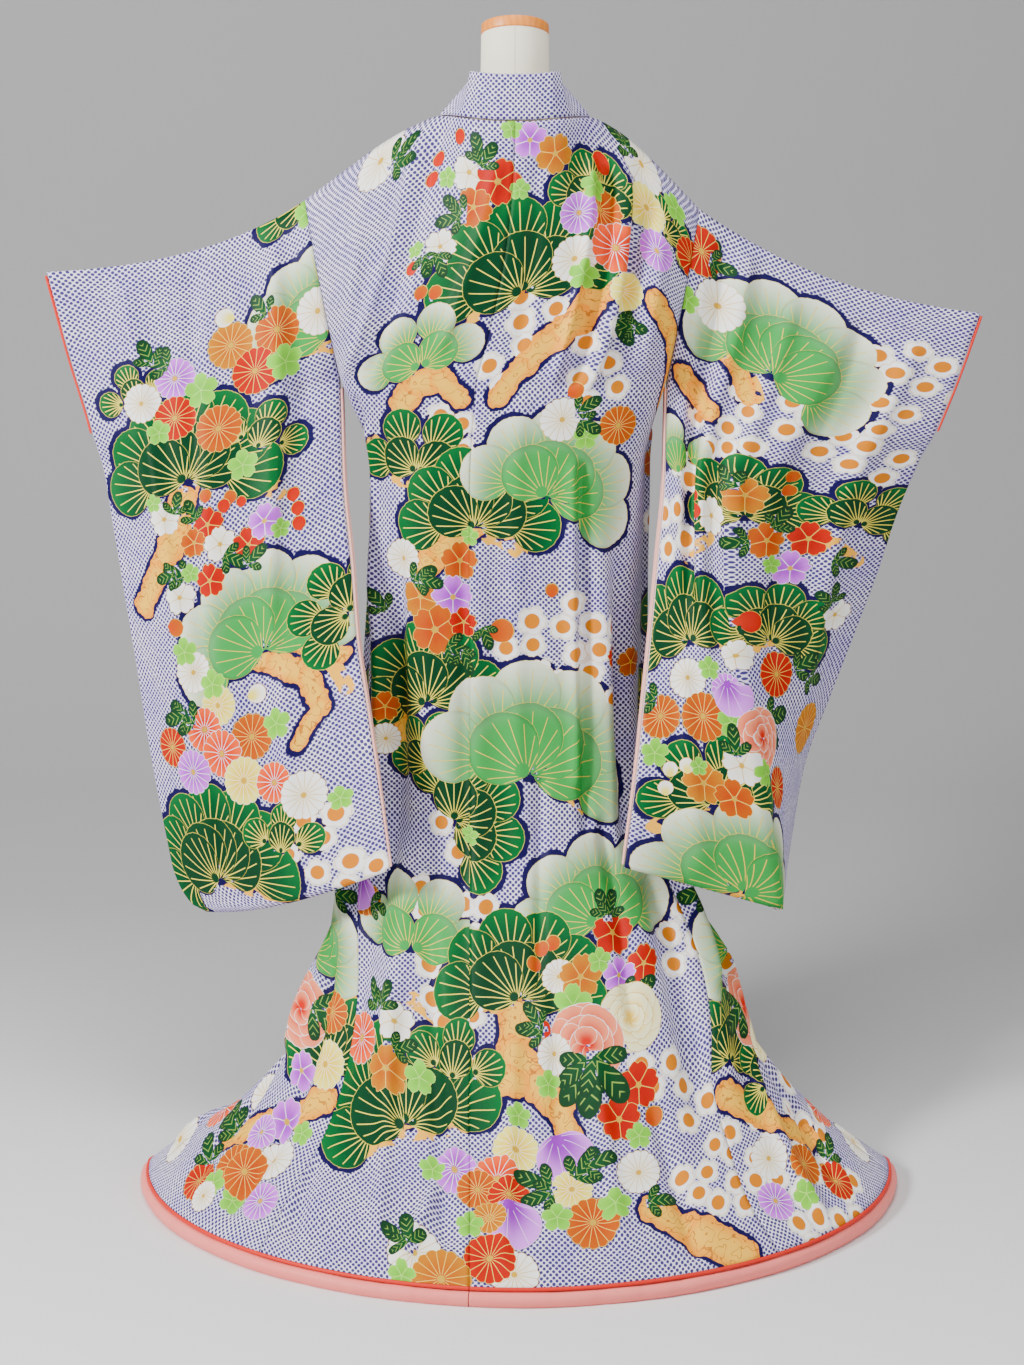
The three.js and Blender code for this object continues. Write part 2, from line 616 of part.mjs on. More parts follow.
// A cord of round or oval section along a path that keeps its own outward direction and height.
function cord(name, finish, path, { deep, high, sides, flatFoot = false }) {
  const loops = path.map(({ place, out, up }) => {
    const loop = [];
    for (let k = 0; k < sides; k += 1) {
      const angle = ((k + (flatFoot ? 0.5 : 0)) / sides) * 2 * Math.PI - Math.PI / 2;
      const squash = flatFoot ? 1 / Math.cos(Math.PI / sides) : 1;
      loop.push(place.clone()
        .addScaledVector(out, deep * Math.cos(angle) * squash)
        .addScaledVector(up, high * Math.sin(angle) * squash));
    }
    return loop;
  });
  return loft(name, finish, loops);
}

function spread(start, end, count) {
  return Array.from({ length: count + 1 }, (_, k) => lerp(start, end, k / count));
}

// ---------------------------------------------------------------- the garment's pieces

const YOKE_ROWS = [0, 0.06, 0.16, 0.3, 0.48, 0.68, 0.85].map((down) => down * YOKE_SHARE);
const SEAM_SHARE = 0.0007;      // SEAM_GAP's share of a panel's width, a little over half on each side
const gapped = (count, start = SEAM_SHARE, end = 1 - SEAM_SHARE) => spread(start, end, count);

function bodyPanels(side, turn) {
  const skirtRows = spread(YOKE_SHARE, 1, 22);
  return [
    clothWall(`back_${side}`, SILK, bodySurface(side, 'back'),
      { across: gapped(15), down: [...YOKE_ROWS, ...skirtRows], turn }),
    clothWall(`front_${side}`, SILK, bodySurface(side, 'front'),
      { across: gapped(9), down: [...YOKE_ROWS, ...skirtRows], turn }),
    clothWall(`overlap_${side}`, SILK, bodySurface(side, 'overlap'),
      { across: gapped(4, 0.004, 1), down: skirtRows.slice(1), turn }),
  ];
}

const SLEEVE_SEAM_SHARE = 0.0016;
const SLEEVE_ACROSS = [SLEEVE_SEAM_SHARE, 0.1, 0.2, 0.31, CREASE_SHARE, 0.53, 0.65, 0.77, 0.89, 1];
const SLEEVE_DOWN = [
  ...[0, 0.03, 0.08, 0.13, 0.19, ARMHOLE_SHARE],
  ...[0.32, 0.38, 0.45, 0.52, 0.59, 0.66, 0.73, 0.8],
  ...[0.86, 0.91, 0.945, 0.97, 0.99, 1],
];

function sleevePanels(side, turn) {
  return ['back', 'front'].map((face) => {
    const facing = face === 'back' ? turn : -turn;
    return clothWall(`sleeve_${side}_${face}`, SILK, sleeveSurface(side, face),
      { across: SLEEVE_ACROSS, down: SLEEVE_DOWN, turn: facing });
  });
}

// The thin coloured edges of the lining that show along the cuff and the open inner edge.
function sleeveEdgings(side) {
  const made = [];
  for (const face of ['back', 'front']) {
    const surface = sleeveSurface(side, face);
    const sign = face === 'back' ? 1 : -1;
    const middleOfWall = vector(0, -sign * WALL / 2, 0);
    const path = (across, reach, rows) => rows.map((down) => {
      const edge = surface(across, down);
      const out = surface(across + reach, down).sub(edge).normalize();
      const place = edge.addScaledVector(out, EDGING_RADIUS + EDGING_OFF).add(middleOfWall);
      return { place, out, up: vector(0, 1, 0) };
    });
    const section = { deep: EDGING_RADIUS, high: EDGING_RADIUS, sides: 6 };
    const reach = 0.004;
    const cuff = path(1, reach, spread(EDGING_START, CUFF_SHARE, 8));
    const inner = path(SLEEVE_SEAM_SHARE, -reach, spread(ARMHOLE_SHARE + 0.02, EDGING_END, 14));
    made.push(cord(`cuff_edge_${side}_${face}`, RED, cuff, section));
    made.push(cord(`inner_edge_${side}_${face}`, PINK, inner, section));
  }
  return made;
}

// The line on which the collar is sewn, from the centre back to its end on one front edge.
function collarSeam(side) {
  const neckShare = TOP_LINE[side][NECK_ROW].share;
  const places = [
    ...spread(0, neckShare, 6).map((share) => topPoint(side, share)),
    ...spread(0, 1, 8).slice(1).map((down) => yokePoint(side, 'front', 1, down)),
    ...spread(ARMPIT, COLLAR_END, 8).slice(1).map((z) => skirtPoint(side, 1, z)),
  ];
  let run = 0;
  return places.map((place, k) => {
    if (k > 0) run += place.distanceTo(places[k - 1]);
    const at = (column) => read(COLLAR_LEAN, 'run', run, column);
    const inward = side === 'left' ? -at('inward') : at('inward');
    return { place, lean: vector(inward, -at('forward'), at('up')).normalize() };
  });
}

function collar() {
  const seam = [...collarSeam('left').reverse(), ...collarSeam('right').slice(1)];
  const last = seam.length - 1;
  const surface = (across, down) => {
    const spot = clamp(down, 0, 1) * last;
    const k = Math.min(Math.floor(spot), last - 1);
    const place = seam[k].place.clone().lerp(seam[k + 1].place, spot - k);
    const lean = seam[k].lean.clone().lerp(seam[k + 1].lean, spot - k).normalize();
    return place.addScaledVector(lean, COLLAR_GAP + across * COLLAR_WIDTH);
  };
  return clothWall('collar', SILK, surface,
    { across: [0, 0.33, 0.67, 1], down: spread(0, 1, last), turn: 1, thick: COLLAR_WALL, raise: 1 });
}

// The hem's path on one side, from the centre-back seam to the front edge.
function hemPath(side, outwards, height) {
  const made = ring(HEM_EDGE);
  return spread(0.0006, 1, 34).map((share) => {
    const angle = angleOnRing(made, side, share);
    const ahead = made.point(angle + 0.01).sub(made.point(angle - 0.01)).normalize();
    const out = vector(-ahead.y, ahead.x, 0);
    const spot = made.point(angle);
    const place = vector(spot.x, spot.y, height).addScaledVector(out, outwards);
    return { place, out, up: vector(0, 0, 1) };
  });
}

function hemPieces(side) {
  const { halfHigh, halfDeep, out } = ROLL;
  const pipingHeight = 2 * halfHigh + SEAM_GAP + PIPING_RADIUS;
  return [
    cord(`hem_roll_${side}`, PINK, hemPath(side, out, halfHigh),
      { deep: halfDeep, high: halfHigh, sides: 8, flatFoot: true }),
    cord(`hem_piping_${side}`, RED, hemPath(side, out + 1, pipingHeight),
      { deep: PIPING_RADIUS, high: PIPING_RADIUS, sides: 6 }),
  ];
}

// ---------------------------------------------------------------- the dress form and its stand

function formTorso() {
  const around = 24;
  const heights = [
    ...spread(FORM_RINGS[0].z, 1300, 9),
    ...[1330, 1352, 1370, 1385, 1398, 1412, 1432],
    ...[1452, 1478, 1504, 1530],
  ];
  const tilt = Math.tan(NECK_TILT * Math.PI / 180);
  const loops = heights.map((z) => {
    const at = (column) => read(FORM_RINGS, 'z', z, column);
    const [half, back, front] = [at('half'), at('back'), at('front')];
    const middle = (back + front) / 2;
    const lift = tilt * smooth(z, NECK_TILT_FROM, FORM_RINGS[FORM_RINGS.length - 1].z);
    return spread(0, 2 * Math.PI, around).slice(0, around).map((angle) => {
      const y = middle + ((back - front) / 2) * Math.cos(angle);
      return vector(half * Math.sin(angle), y, z + (y - middle) * lift);
    });
  });
  return loft('form_torso', CANVAS, loops);
}

function formCap() {
  const neck = FORM_RINGS[FORM_RINGS.length - 1];
  const cap = new THREE.CylinderGeometry(CAP.radius - 3, CAP.radius, CAP.thick, 32);
  cap.rotateX(Math.PI / 2);
  cap.translate(0, 0, CAP.thick / 2 + SEAM_GAP);
  const made = new THREE.Mesh(cap, new THREE.MeshStandardMaterial(WOOD));
  made.name = 'form_cap';
  made.rotation.x = NECK_TILT * Math.PI / 180;
  made.position.set(0, (neck.back + neck.front) / 2, neck.z);
  return made;
}

function upright(name, finish, radius, bottom, top, sides) {
  const cylinder = new THREE.CylinderGeometry(radius, radius, top - bottom, sides);
  cylinder.rotateX(Math.PI / 2);
  cylinder.translate(0, 0, (bottom + top) / 2);
  const made = new THREE.Mesh(cylinder, new THREE.MeshStandardMaterial(finish));
  made.name = name;
  return made;
}

// ---------------------------------------------------------------- the whole object

const furisode = new THREE.Group();
for (const [side, turn] of [['left', 1], ['right', -1]]) {
  furisode.add(...bodyPanels(side, turn), ...sleevePanels(side, turn));
  furisode.add(...sleeveEdgings(side), ...hemPieces(side));
}
furisode.add(
  collar(),
  formTorso(),
  formCap(),
  upright('stand_pole', STEEL, POLE.radius, BASE.high + SEAM_GAP, POLE.top, 20),
  upright('stand_base', STEEL, BASE.radius, 0, BASE.high, 40),
);

export default furisode;
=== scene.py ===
from math import atan2, pi, radians, tan

import bpy
import numpy as np
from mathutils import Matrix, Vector


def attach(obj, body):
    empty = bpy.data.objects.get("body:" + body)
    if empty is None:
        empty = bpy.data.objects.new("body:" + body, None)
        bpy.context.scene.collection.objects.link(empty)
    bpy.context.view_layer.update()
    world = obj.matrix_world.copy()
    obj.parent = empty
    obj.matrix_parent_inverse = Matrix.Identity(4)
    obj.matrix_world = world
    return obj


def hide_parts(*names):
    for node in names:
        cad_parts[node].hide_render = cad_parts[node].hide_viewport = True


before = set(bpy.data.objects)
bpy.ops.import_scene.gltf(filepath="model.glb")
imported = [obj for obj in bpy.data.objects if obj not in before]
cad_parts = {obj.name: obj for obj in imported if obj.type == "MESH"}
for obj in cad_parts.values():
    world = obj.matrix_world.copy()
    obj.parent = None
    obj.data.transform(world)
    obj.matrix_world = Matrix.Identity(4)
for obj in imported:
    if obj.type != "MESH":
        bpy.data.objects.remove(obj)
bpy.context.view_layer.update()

# ------------------------------------------------------------------ the camera
# Stands behind the garment at shoulder height and looks a little down on it, as a portrait.
CAMERA_AT, CAMERA_TOWARDS = (0.0042, 3.6, 1.35), (0.0042, 0.0, 0.64)

lens = bpy.data.cameras.new("camera")
lens.sensor_fit, lens.sensor_height, lens.lens = "VERTICAL", 36, 68.3
camera = bpy.data.objects.new("camera", lens)
camera.location = CAMERA_AT
sight = Vector(CAMERA_TOWARDS) - Vector(CAMERA_AT)
camera.rotation_euler = sight.to_track_quat("-Z", "Y").to_euler()
bpy.context.scene.collection.objects.link(camera)
bpy.context.scene.camera = camera

# ------------------------------------------------------------------ the studio
# A pale paper floor that curves up into a backdrop, lit softly from above on both sides. The paper is
# painted darker, to mid-grey, towards the back and up the backdrop: painted shade for the light falling off
# there.


def plain_material(name, colour, roughness=0.8):
    """A material that is the same all over; its surface may be made uneven afterwards."""
    made = bpy.data.materials.new(name)
    made.use_nodes = True
    shader = made.node_tree.nodes["Principled BSDF"]
    shader.inputs["Base Color"].default_value = (*colour, 1)
    shader.inputs["Roughness"].default_value = roughness
    return made


def hang(name, columns, rows, places):
    """A flat grid of cloth, primitive first, with each of its points hung at its place."""
    bpy.ops.object.select_all(action="DESELECT")
    bpy.ops.mesh.primitive_grid_add(x_subdivisions=columns, y_subdivisions=rows, size=1)
    made = bpy.context.object
    made.name = made.data.name = name
    made.data.vertices.foreach_set("co", np.ascontiguousarray(places, np.float32).ravel())
    made.data.polygons.foreach_set("use_smooth", np.ones(columns * rows, bool))
    made.data.update()
    return made


BACKDROP_Y, BACKDROP_CURVE, BACKDROP_HALF, BACKDROP_TOP, FLOOR_FRONT = -2.4, 1.3, 6.0, 6.0, 6.0
CURVE_POINTS = 25
# The backdrop's grey is painted shade: the paper fades to it from the floor's pale grey over these depths.
BACKDROP_PAINTED_SHADE, FLOOR_GREY, SHADE_FROM, SHADE_TO = (0.38, 0.375, 0.385), (0.84, 0.83, 0.84), -1.6, 0.9
sweep = [(FLOOR_FRONT, 0.0)]
for turn in np.linspace(0, pi / 2, CURVE_POINTS):
    sweep.append((BACKDROP_Y + BACKDROP_CURVE * (1 - np.sin(turn)), BACKDROP_CURVE * (1 - np.cos(turn))))
sweep.append((BACKDROP_Y, BACKDROP_TOP))
backdrop_places = [[(x, y, z) for x in (BACKDROP_HALF, -BACKDROP_HALF)] for y, z in sweep]
backdrop = hang("backdrop", 1, len(sweep) - 1, np.array(backdrop_places))
paper = plain_material("backdrop_paper", (0.5, 0.5, 0.5), 0.9)
nodes, links = paper.node_tree.nodes, paper.node_tree.links
depth = nodes.new("ShaderNodeSeparateXYZ")
links.new(nodes.new("ShaderNodeTexCoord").outputs["Object"], depth.inputs[0])
# Painted shade: the paper darkens from the front of the floor towards the backdrop.
fade = nodes.new("ShaderNodeMapRange")
fade.inputs["From Min"].default_value, fade.inputs["From Max"].default_value = SHADE_FROM, SHADE_TO
links.new(depth.outputs["Y"], fade.inputs["Value"])
blend = nodes.new("ShaderNodeMix")
blend.data_type = "RGBA"
blend.inputs[6].default_value = (*BACKDROP_PAINTED_SHADE, 1)
blend.inputs[7].default_value = (*FLOOR_GREY, 1)
links.new(fade.outputs["Result"], blend.inputs["Factor"])
links.new(blend.outputs[2], nodes["Principled BSDF"].inputs["Base Color"])
backdrop.data.materials.append(paper)


def soft_light(name, place, towards, size, power):
    data = bpy.data.lights.new(name, "AREA")
    data.shape, data.size, data.energy = "DISK", size, power
    light = bpy.data.objects.new(name, data)
    light.location = place
    light.rotation_euler = (Vector(towards) - Vector(place)).to_track_quat("-Z", "Y").to_euler()
    bpy.context.scene.collection.objects.link(light)


WAIST, TRAIN, ROOM_LIGHT = (0.0, 0.2, 0.7), (0.0, 0.3, 0.0), 0.22
soft_light("light_left", (3.1, 2.2, 2.6), WAIST, size=0.9, power=250)
soft_light("light_right", (-3.0, 2.6, 2.2), WAIST, size=2.0, power=58)
soft_light("light_top", (0.0, 1.2, 3.8), TRAIN, size=2.2, power=88)
room = bpy.data.worlds.new("room")
room.use_nodes = True
room.node_tree.nodes["Background"].inputs["Color"].default_value = (1, 1, 1, 1)
room.node_tree.nodes["Background"].inputs["Strength"].default_value = ROOM_LIGHT
bpy.context.scene.world = room

# ------------------------------------------------------------------ the printed silk
# Crêpe dyed all over with small navy knots, and over that pines, branches, blossoms and
# chrysanthemums in their usual forms. Each form is one kind below, drawn by its own sums.
# Sizes are millimetres on the flat cloth: u across it and v down it from the shoulder line.

NAVY, INDIGO, BROWN = (0.006, 0.002, 0.060), (0.020, 0.010, 0.13), (0.40, 0.10, 0.01)
WHITE, CREAM, PEN = (0.95, 0.95, 0.93), (0.92, 0.78, 0.10), (0.94, 0.62, 0.10)
TAN, GOLD = (0.95, 0.46, 0.035), (0.62, 0.36, 0.03)
LEAF, LIME = (0.004, 0.040, 0.012), (0.22, 0.66, 0.035)

# Each kind: rim, heart, line and centre colours; then petals (count, depth between them, notch,
# fan), ribs (count, width, start, end), and finish (edge line, centre share, halo, grain).
# A fan above 0 narrows the form to a lobe that grows from its base; a halo is navy above 0 and
# white below; grain 1 is whorled bark, 2 a broken strip and 3 the side veins of a leaf.
KINDS = {
    "strip": (TAN, TAN, NAVY, TAN, (1, 0, 0, 0), (1, 0, 1, 1), (0, 0, 0, 2)),
    "plum": (WHITE, WHITE, (0.80, 0.42, 0.10), (0.66, 0.20, 0.0),
             (5, 0.22, 0.05, 0), (5, 0, 1, 1), (0.3, 0.54, -2.4, 0)),
    "bark": ((0.95, 0.34, 0.012), (0.95, 0.50, 0.04), BROWN, TAN,
             (1, 0, 0, 0), (1, 0, 1, 1), (0, 0, 5.0, 1)),
    "pine_dark": ((0.0, 0.15, 0.030), (0.0, 0.040, 0.012), CREAM, GOLD,
                  (1, 0, 0, 1.12), (26, 1.15, 0.14, 0.88), (0, 0, 7.0, 0)),
    "pine_light": ((0.97, 0.95, 0.80), (0.032, 0.34, 0.060), (0.80, 0.58, 0.07), GOLD,
                   (1, 0, 0, 1.12), (24, 0.95, 0.18, 0.86), (0, 0, 7.0, 0)),
    "leaf_dark": (LEAF, (0.003, 0.065, 0.016), (0.30, 0.48, 0.08), LEAF,
                  (1, 0, 0, 2.7), (2, 0.9, 0, 0.92), (0, 0, 0.8, 3)),
    "leaf_green": (LIME, (0.16, 0.52, 0.025), (0.50, 0.85, 0.16), LIME,
                   (5, 0.34, 0.05, 0), (5, 0.6, 0, 0.8), (0.4, 0, 0, 0)),
    "bud_red": ((0.54, 0.007, 0.0), (0.58, 0.016, 0.0), CREAM, TAN,
                (1, 0, 0, 1.3), (3, 0, 1, 1), (0.4, 0, 0.8, 0)),
    "bud_orange": ((0.54, 0.10, 0.0), (0.56, 0.06, 0.0), CREAM, TAN,
                   (1, 0, 0, 1.3), (3, 0, 1, 1), (0.4, 0, 0.8, 0)),
    "bud_cream": (WHITE, CREAM, TAN, TAN, (1, 0, 0, 1.3), (3, 0, 1, 1), (0.4, 0, 0.8, 0)),
    "bell_lilac": ((0.76, 0.22, 0.97), (0.30, 0.012, 0.50), (0.90, 0.60, 0.97), TAN,
                   (1, 0, 0, 1.05), (14, 0.6, 0.2, 0.95), (0.5, 0, 0.8, 0)),
    "peony_coral": ((0.95, 0.26, 0.13), (0.62, 0.010, 0.0), WHITE, GOLD,
                    (1, 0, 0.14, 0.95), (14, 0, 1, 1), (0.5, 0, 0, 0)),
    "peony_cream": ((0.95, 0.92, 0.55), (0.88, 0.56, 0.07), GOLD, GOLD,
                    (1, 0, 0.14, 0.95), (14, 0, 1, 1), (0.5, 0, 0, 0)),
}
MUM_COLOURS = {
    "white": (WHITE, (0.90, 0.86, 0.70), (0.70, 0.42, 0.08)),
    "cream": ((0.95, 0.84, 0.16), (0.92, 0.62, 0.04), (0.96, 0.93, 0.75)),
    "lilac": ((0.66, 0.12, 0.90), (0.40, 0.030, 0.62), WHITE),
    "orange": ((0.52, 0.095, 0.0), (0.50, 0.055, 0.0), PEN),
    "red": ((0.50, 0.009, 0.0), (0.44, 0.003, 0.0), PEN),
    "amber": ((0.56, 0.185, 0.0), (0.52, 0.115, 0.0), PEN),
    "coral": ((0.90, 0.105, 0.015), (0.70, 0.020, 0.0), WHITE),
}
for tone, (rim, heart, line) in MUM_COLOURS.items():
    KINDS["mum_" + tone] = (rim, heart, line, GOLD,
                            (16, 0.07, 0, 0), (16, 0.7, 0.14, 1), (0.45, 0.13, 0.8, 0))
for tone in ("white", "red", "orange", "amber", "lilac"):
    rim, heart, line = MUM_COLOURS[tone]
    KINDS["five_" + tone] = (rim, heart, line, GOLD,
                             (5, 0.26, 0.11, 0), (5, 0.8, 0, 1), (0.5, 0.13, 0.8, 0))
KIND_NAMES = list(KINDS)
RAMP_STOPS = 32
LAYERS = 6


class Wire:
    """One number running through a shader; a sum written with it makes the math nodes."""

    def __init__(self, tree, socket):
        self.tree, self.socket = tree, socket

    def math(self, operation, *others):
        node = self.tree.nodes.new("ShaderNodeMath")
        node.operation = operation
        for slot, value in zip(node.inputs, (self, *others)):
            if isinstance(value, Wire):
                self.tree.links.new(value.socket, slot)
            else:
                slot.default_value = value
        return Wire(self.tree, node.outputs[0])

    def __add__(self, other): return self.math("ADD", other)
    def __sub__(self, other): return self.math("SUBTRACT", other)
    def __rsub__(self, other): return self.math("MULTIPLY_ADD", -1.0, other)
    def __mul__(self, other): return self.math("MULTIPLY", other)
    def __truediv__(self, other): return self.math("DIVIDE", other)
    __radd__, __rmul__ = __add__, __mul__

    def step(self, low, high):
        """0 at low, 1 at high and smooth between; falls where high is the lower."""
        node = self.tree.nodes.new("ShaderNodeMapRange")
        node.interpolation_type = "SMOOTHSTEP"
        for slot, value in zip(("Value", "From Min", "From Max"), (self, low, high)):
            if isinstance(value, Wire):
                self.tree.links.new(value.socket, node.inputs[slot])
            else:
                node.inputs[slot].default_value = value
        return Wire(self.tree, node.outputs["Result"])


def mixed(tree, part, low, high):
    """One colour over another by part. Colours are sockets or plain values."""
    node = tree.nodes.new("ShaderNodeMix")
    node.data_type = "RGBA"
    for slot, value in zip((node.inputs["Factor"], node.inputs[6], node.inputs[7]), (part, low, high)):
        if isinstance(value, Wire):
            tree.links.new(value.socket, slot)
        elif isinstance(value, bpy.types.NodeSocket):
            tree.links.new(value, slot)
        else:
            slot.default_value = (*value, 1) if isinstance(value, tuple) else value
    return node.outputs[2]


def noise(tree, vector, scale, detail=1.0):
    node = tree.nodes.new("ShaderNodeTexNoise")
    tree.links.new(vector, node.inputs["Vector"])
    node.inputs["Scale"].default_value = scale
    node.inputs["Detail"].default_value = detail
    return Wire(tree, node.outputs["Fac"])


def kind_ramp(tree, kind, values):
    """Reads each kind's four numbers from a stepped ramp with one stop for each kind."""
    node = tree.nodes.new("ShaderNodeValToRGB")
    ramp = node.color_ramp
    ramp.interpolation = "CONSTANT"
    while len(ramp.elements) < len(values):
        ramp.elements.new(len(ramp.elements) / RAMP_STOPS)
    for place, (stop, value) in enumerate(zip(ramp.elements, values)):
        stop.position = place / RAMP_STOPS
        stop.color = value
    tree.links.new(kind.socket, node.inputs[0])
    return node


def split(tree, socket):
    node = tree.nodes.new("ShaderNodeSeparateXYZ")
    tree.links.new(socket, node.inputs[0])
    return [Wire(tree, out) for out in node.outputs]


def surfaced(made, colour, gloss, height, strength, distance):
    """Gives a material its colour, its gloss and the fine heights of its weave."""
    links, shader = made.node_tree.links, made.node_tree.nodes["Principled BSDF"]
    links.new(colour, shader.inputs["Base Color"])
    shader.inputs["Specular IOR Level"].default_value = gloss
    bump = made.node_tree.nodes.new("ShaderNodeBump")
    bump.inputs["Strength"].default_value, bump.inputs["Distance"].default_value = strength, distance
    links.new(height.socket, bump.inputs["Height"])
    links.new(bump.outputs["Normal"], shader.inputs["Normal"])
    return made


HALO_UNEVEN, BARK_UNEVEN, HELD_BACK = 1.6, 16.0, 1e-6
BARK_GRAIN, STRIP_GRAIN = 1.0, 2.0


def motif_group():
    """One layer of the pattern: the form that the face names, drawn round its own place."""
    tree = bpy.data.node_groups.new("motif", "ShaderNodeTree")
    for way, kind, names in (("INPUT", "Vector", "Cloth Spot Style"),
                             ("INPUT", "Float", "Turn Clump Wander Grain Before"),
                             ("OUTPUT", "Color", "Fill"), ("OUTPUT", "Float", "Mask Navy White")):
        for name in names.split():
            tree.interface.new_socket(name, in_out=way, socket_type="NodeSocket" + kind)
    given = tree.nodes.new("NodeGroupInput").outputs
    u, v, _ = split(tree, given["Cloth"])
    cu, cv, size = split(tree, given["Spot"])
    kind, stretch, behind = split(tree, given["Style"])
    turn, clump, wander, grain = (Wire(tree, given[name]) for name in ("Turn", "Clump", "Wander", "Grain"))
    # The layer waits for the one before it, so that few numbers are held at a time.
    wait = Wire(tree, given["Before"]) * HELD_BACK
    u, v, kind = u + wait, v + wait, kind + wait

    numbers = [KINDS[name] for name in KIND_NAMES]
    rim, heart, pen, centre = (kind_ramp(tree, kind, [(*k[c], 1) for k in numbers]) for c in range(4))
    petals, ribs, finish = (kind_ramp(tree, kind, [tuple(map(abs, k[c])) for k in numbers])
                            for c in (4, 5, 6))
    white_halo = kind_ramp(tree, kind, [3 * (float(k[6][2] < 0),) + (1,) for k in numbers])
    count, depth, notch = split(tree, petals.outputs["Color"])
    fan = Wire(tree, petals.outputs["Alpha"])
    rib_count, rib_width, rib_start = split(tree, ribs.outputs["Color"])
    rib_end = Wire(tree, ribs.outputs["Alpha"])
    edge, centre_share, halo = split(tree, finish.outputs["Color"])
    grain_kind = Wire(tree, finish.outputs["Alpha"])

    across, down = u - cu, v - cv
    sine, cosine = turn.math("SINE"), turn.math("COSINE")
    x = (across * cosine + down * sine) / size
    y = (across * sine - down * cosine) / size
    y = y - y.math("MAXIMUM", stretch * -1.0).math("MINIMUM", stretch)
    reach = (x * x + y * y).math("SQRT")
    angle = x.math("ARCTAN2", y)

    def from_middle(number):
        """0 in the middle of each of so many shares of the circle and 1 between two of them."""
        return ((angle * number / (2 * pi) + 0.5).math("FRACT") - 0.5).math("ABSOLUTE") * 2.0

    petal = from_middle(count)
    lobe = (angle * fan).math("ABSOLUTE").math("MINIMUM", pi / 2).math("COSINE").math("POWER", 0.7)
    radius = (1.0 - petal * petal * depth - petal.step(0.3, 0.0) * notch) * lobe
    share = reach / radius.math("MAXIMUM", 0.001)
    on_bark = grain_kind.math("COMPARE", BARK_GRAIN, 0.5)
    off = (reach - radius) * size + wander + (grain - 0.5) * BARK_UNEVEN * on_bark

    rib_off = (1.0 - from_middle(rib_count)) * reach * size * pi / rib_count
    rib = rib_off.step(rib_width * 0.7 + 0.1, rib_width * 0.3)
    rib = rib * share.step(rib_start, rib_start + 0.05) * share.step(rib_end + 0.03, rib_end)
    in_clump = clump.step(0.0, 0.01)
    clump_share = (x * x + (y + behind) * (y + behind)).math("SQRT") * clump
    tone = share.step(0.25, 0.98) * (1.0 - in_clump)
    tone = tone + clump_share.step(0.40, 1.15).math("POWER", 1.5) * in_clump
    fill = mixed(tree, tone, heart.outputs["Color"], rim.outputs["Color"])
    fill = mixed(tree, share.step(0.88, 1.0) * in_clump * clump_share.step(0.95, 0.80) * 0.3, fill, LEAF)
    outline = off.step(-0.9, -0.5) * in_clump
    whorl = ((grain * 5.0).math("FRACT") - 0.5).math("ABSOLUTE").step(0.085, 0.035)
    whorl = whorl * on_bark
    vein = ((y * 4.5 - x.math("ABSOLUTE") * 5.0).math("FRACT") - 0.5).math("ABSOLUTE").step(0.11, 0.05)
    vein = vein * grain_kind.step(2.4, 2.6) * share.step(0.9, 0.8)
    marks = rib.math("MAXIMUM", whorl * 0.75).math("MAXIMUM", vein * 0.8).math("MAXIMUM", outline * 0.7)
    marks = marks.math("MAXIMUM", off.step(edge * -1.0 - 0.4, edge * -1.0) * edge.step(0.0, 0.2))
    fill = mixed(tree, marks, fill, pen.outputs["Color"])
    fill = mixed(tree, reach.step(centre_share + 0.03, centre_share - 0.03) * centre_share.step(0.02, 0.06),
                 fill, centre.outputs["Color"])
    broken = grain.step(0.49, 0.54) * grain_kind.math("COMPARE", STRIP_GRAIN, 0.5)
    mask = off.step(0.35, -0.35) * (1.0 - broken)
    halo = halo * (grain * HALO_UNEVEN + (1.0 - HALO_UNEVEN / 2))
    around = off.step(halo + 0.8, halo - 0.8) * halo.step(0.0, 0.4)
    is_white = Wire(tree, white_halo.outputs["Color"])
    out = tree.nodes.new("NodeGroupOutput").inputs
    tree.links.new(fill, out["Fill"])
    for name, value in (("Mask", mask), ("Navy", around * (1.0 - is_white)), ("White", around * is_white)):
        tree.links.new(value.socket, out[name])
    return tree


DOT_PITCH, DOT_RADIUS, DOT_UNEVEN, DOT_SOFT, GROUND_TURN = 5.4, 2.15, 1.1, 0.35, radians(45)
ROW_DRIFT, PALE, PALE_SHADE = 13.0, (0.86, 0.81, 0.97), (0.66, 0.60, 0.94)


def dyed_ground(tree, cloth):
    """Small navy knots in diagonal rows on a pale ground; the rows bend where the cloth was bound."""
    bend = noise(tree, cloth, 0.011, 1)
    u, v, _ = split(tree, cloth)
    drift = (bend - 0.5) * ROW_DRIFT
    sine, cosine = float(np.sin(GROUND_TURN)), float(np.cos(GROUND_TURN))
    first = ((u * cosine + v * sine + drift) / DOT_PITCH).math("FRACT") - 0.5
    second = ((v * cosine - u * sine + drift) / DOT_PITCH).math("FRACT") - 0.5
    away = (first * first + second * second).math("SQRT") * DOT_PITCH
    radius = DOT_RADIUS + (noise(tree, cloth, 0.21, 0) - 0.5) * DOT_UNEVEN
    dot = away.step(radius + DOT_SOFT, radius - DOT_SOFT)
    shade = noise(tree, cloth, 0.02, 2).step(0.3, 0.75)
    pale = mixed(tree, shade, PALE, PALE_SHADE)
    return mixed(tree, dot * 0.96, pale, INDIGO), dot


EDGE_SHAKE, HALO_WHITE = 2.6, (0.82, 0.80, 0.78)


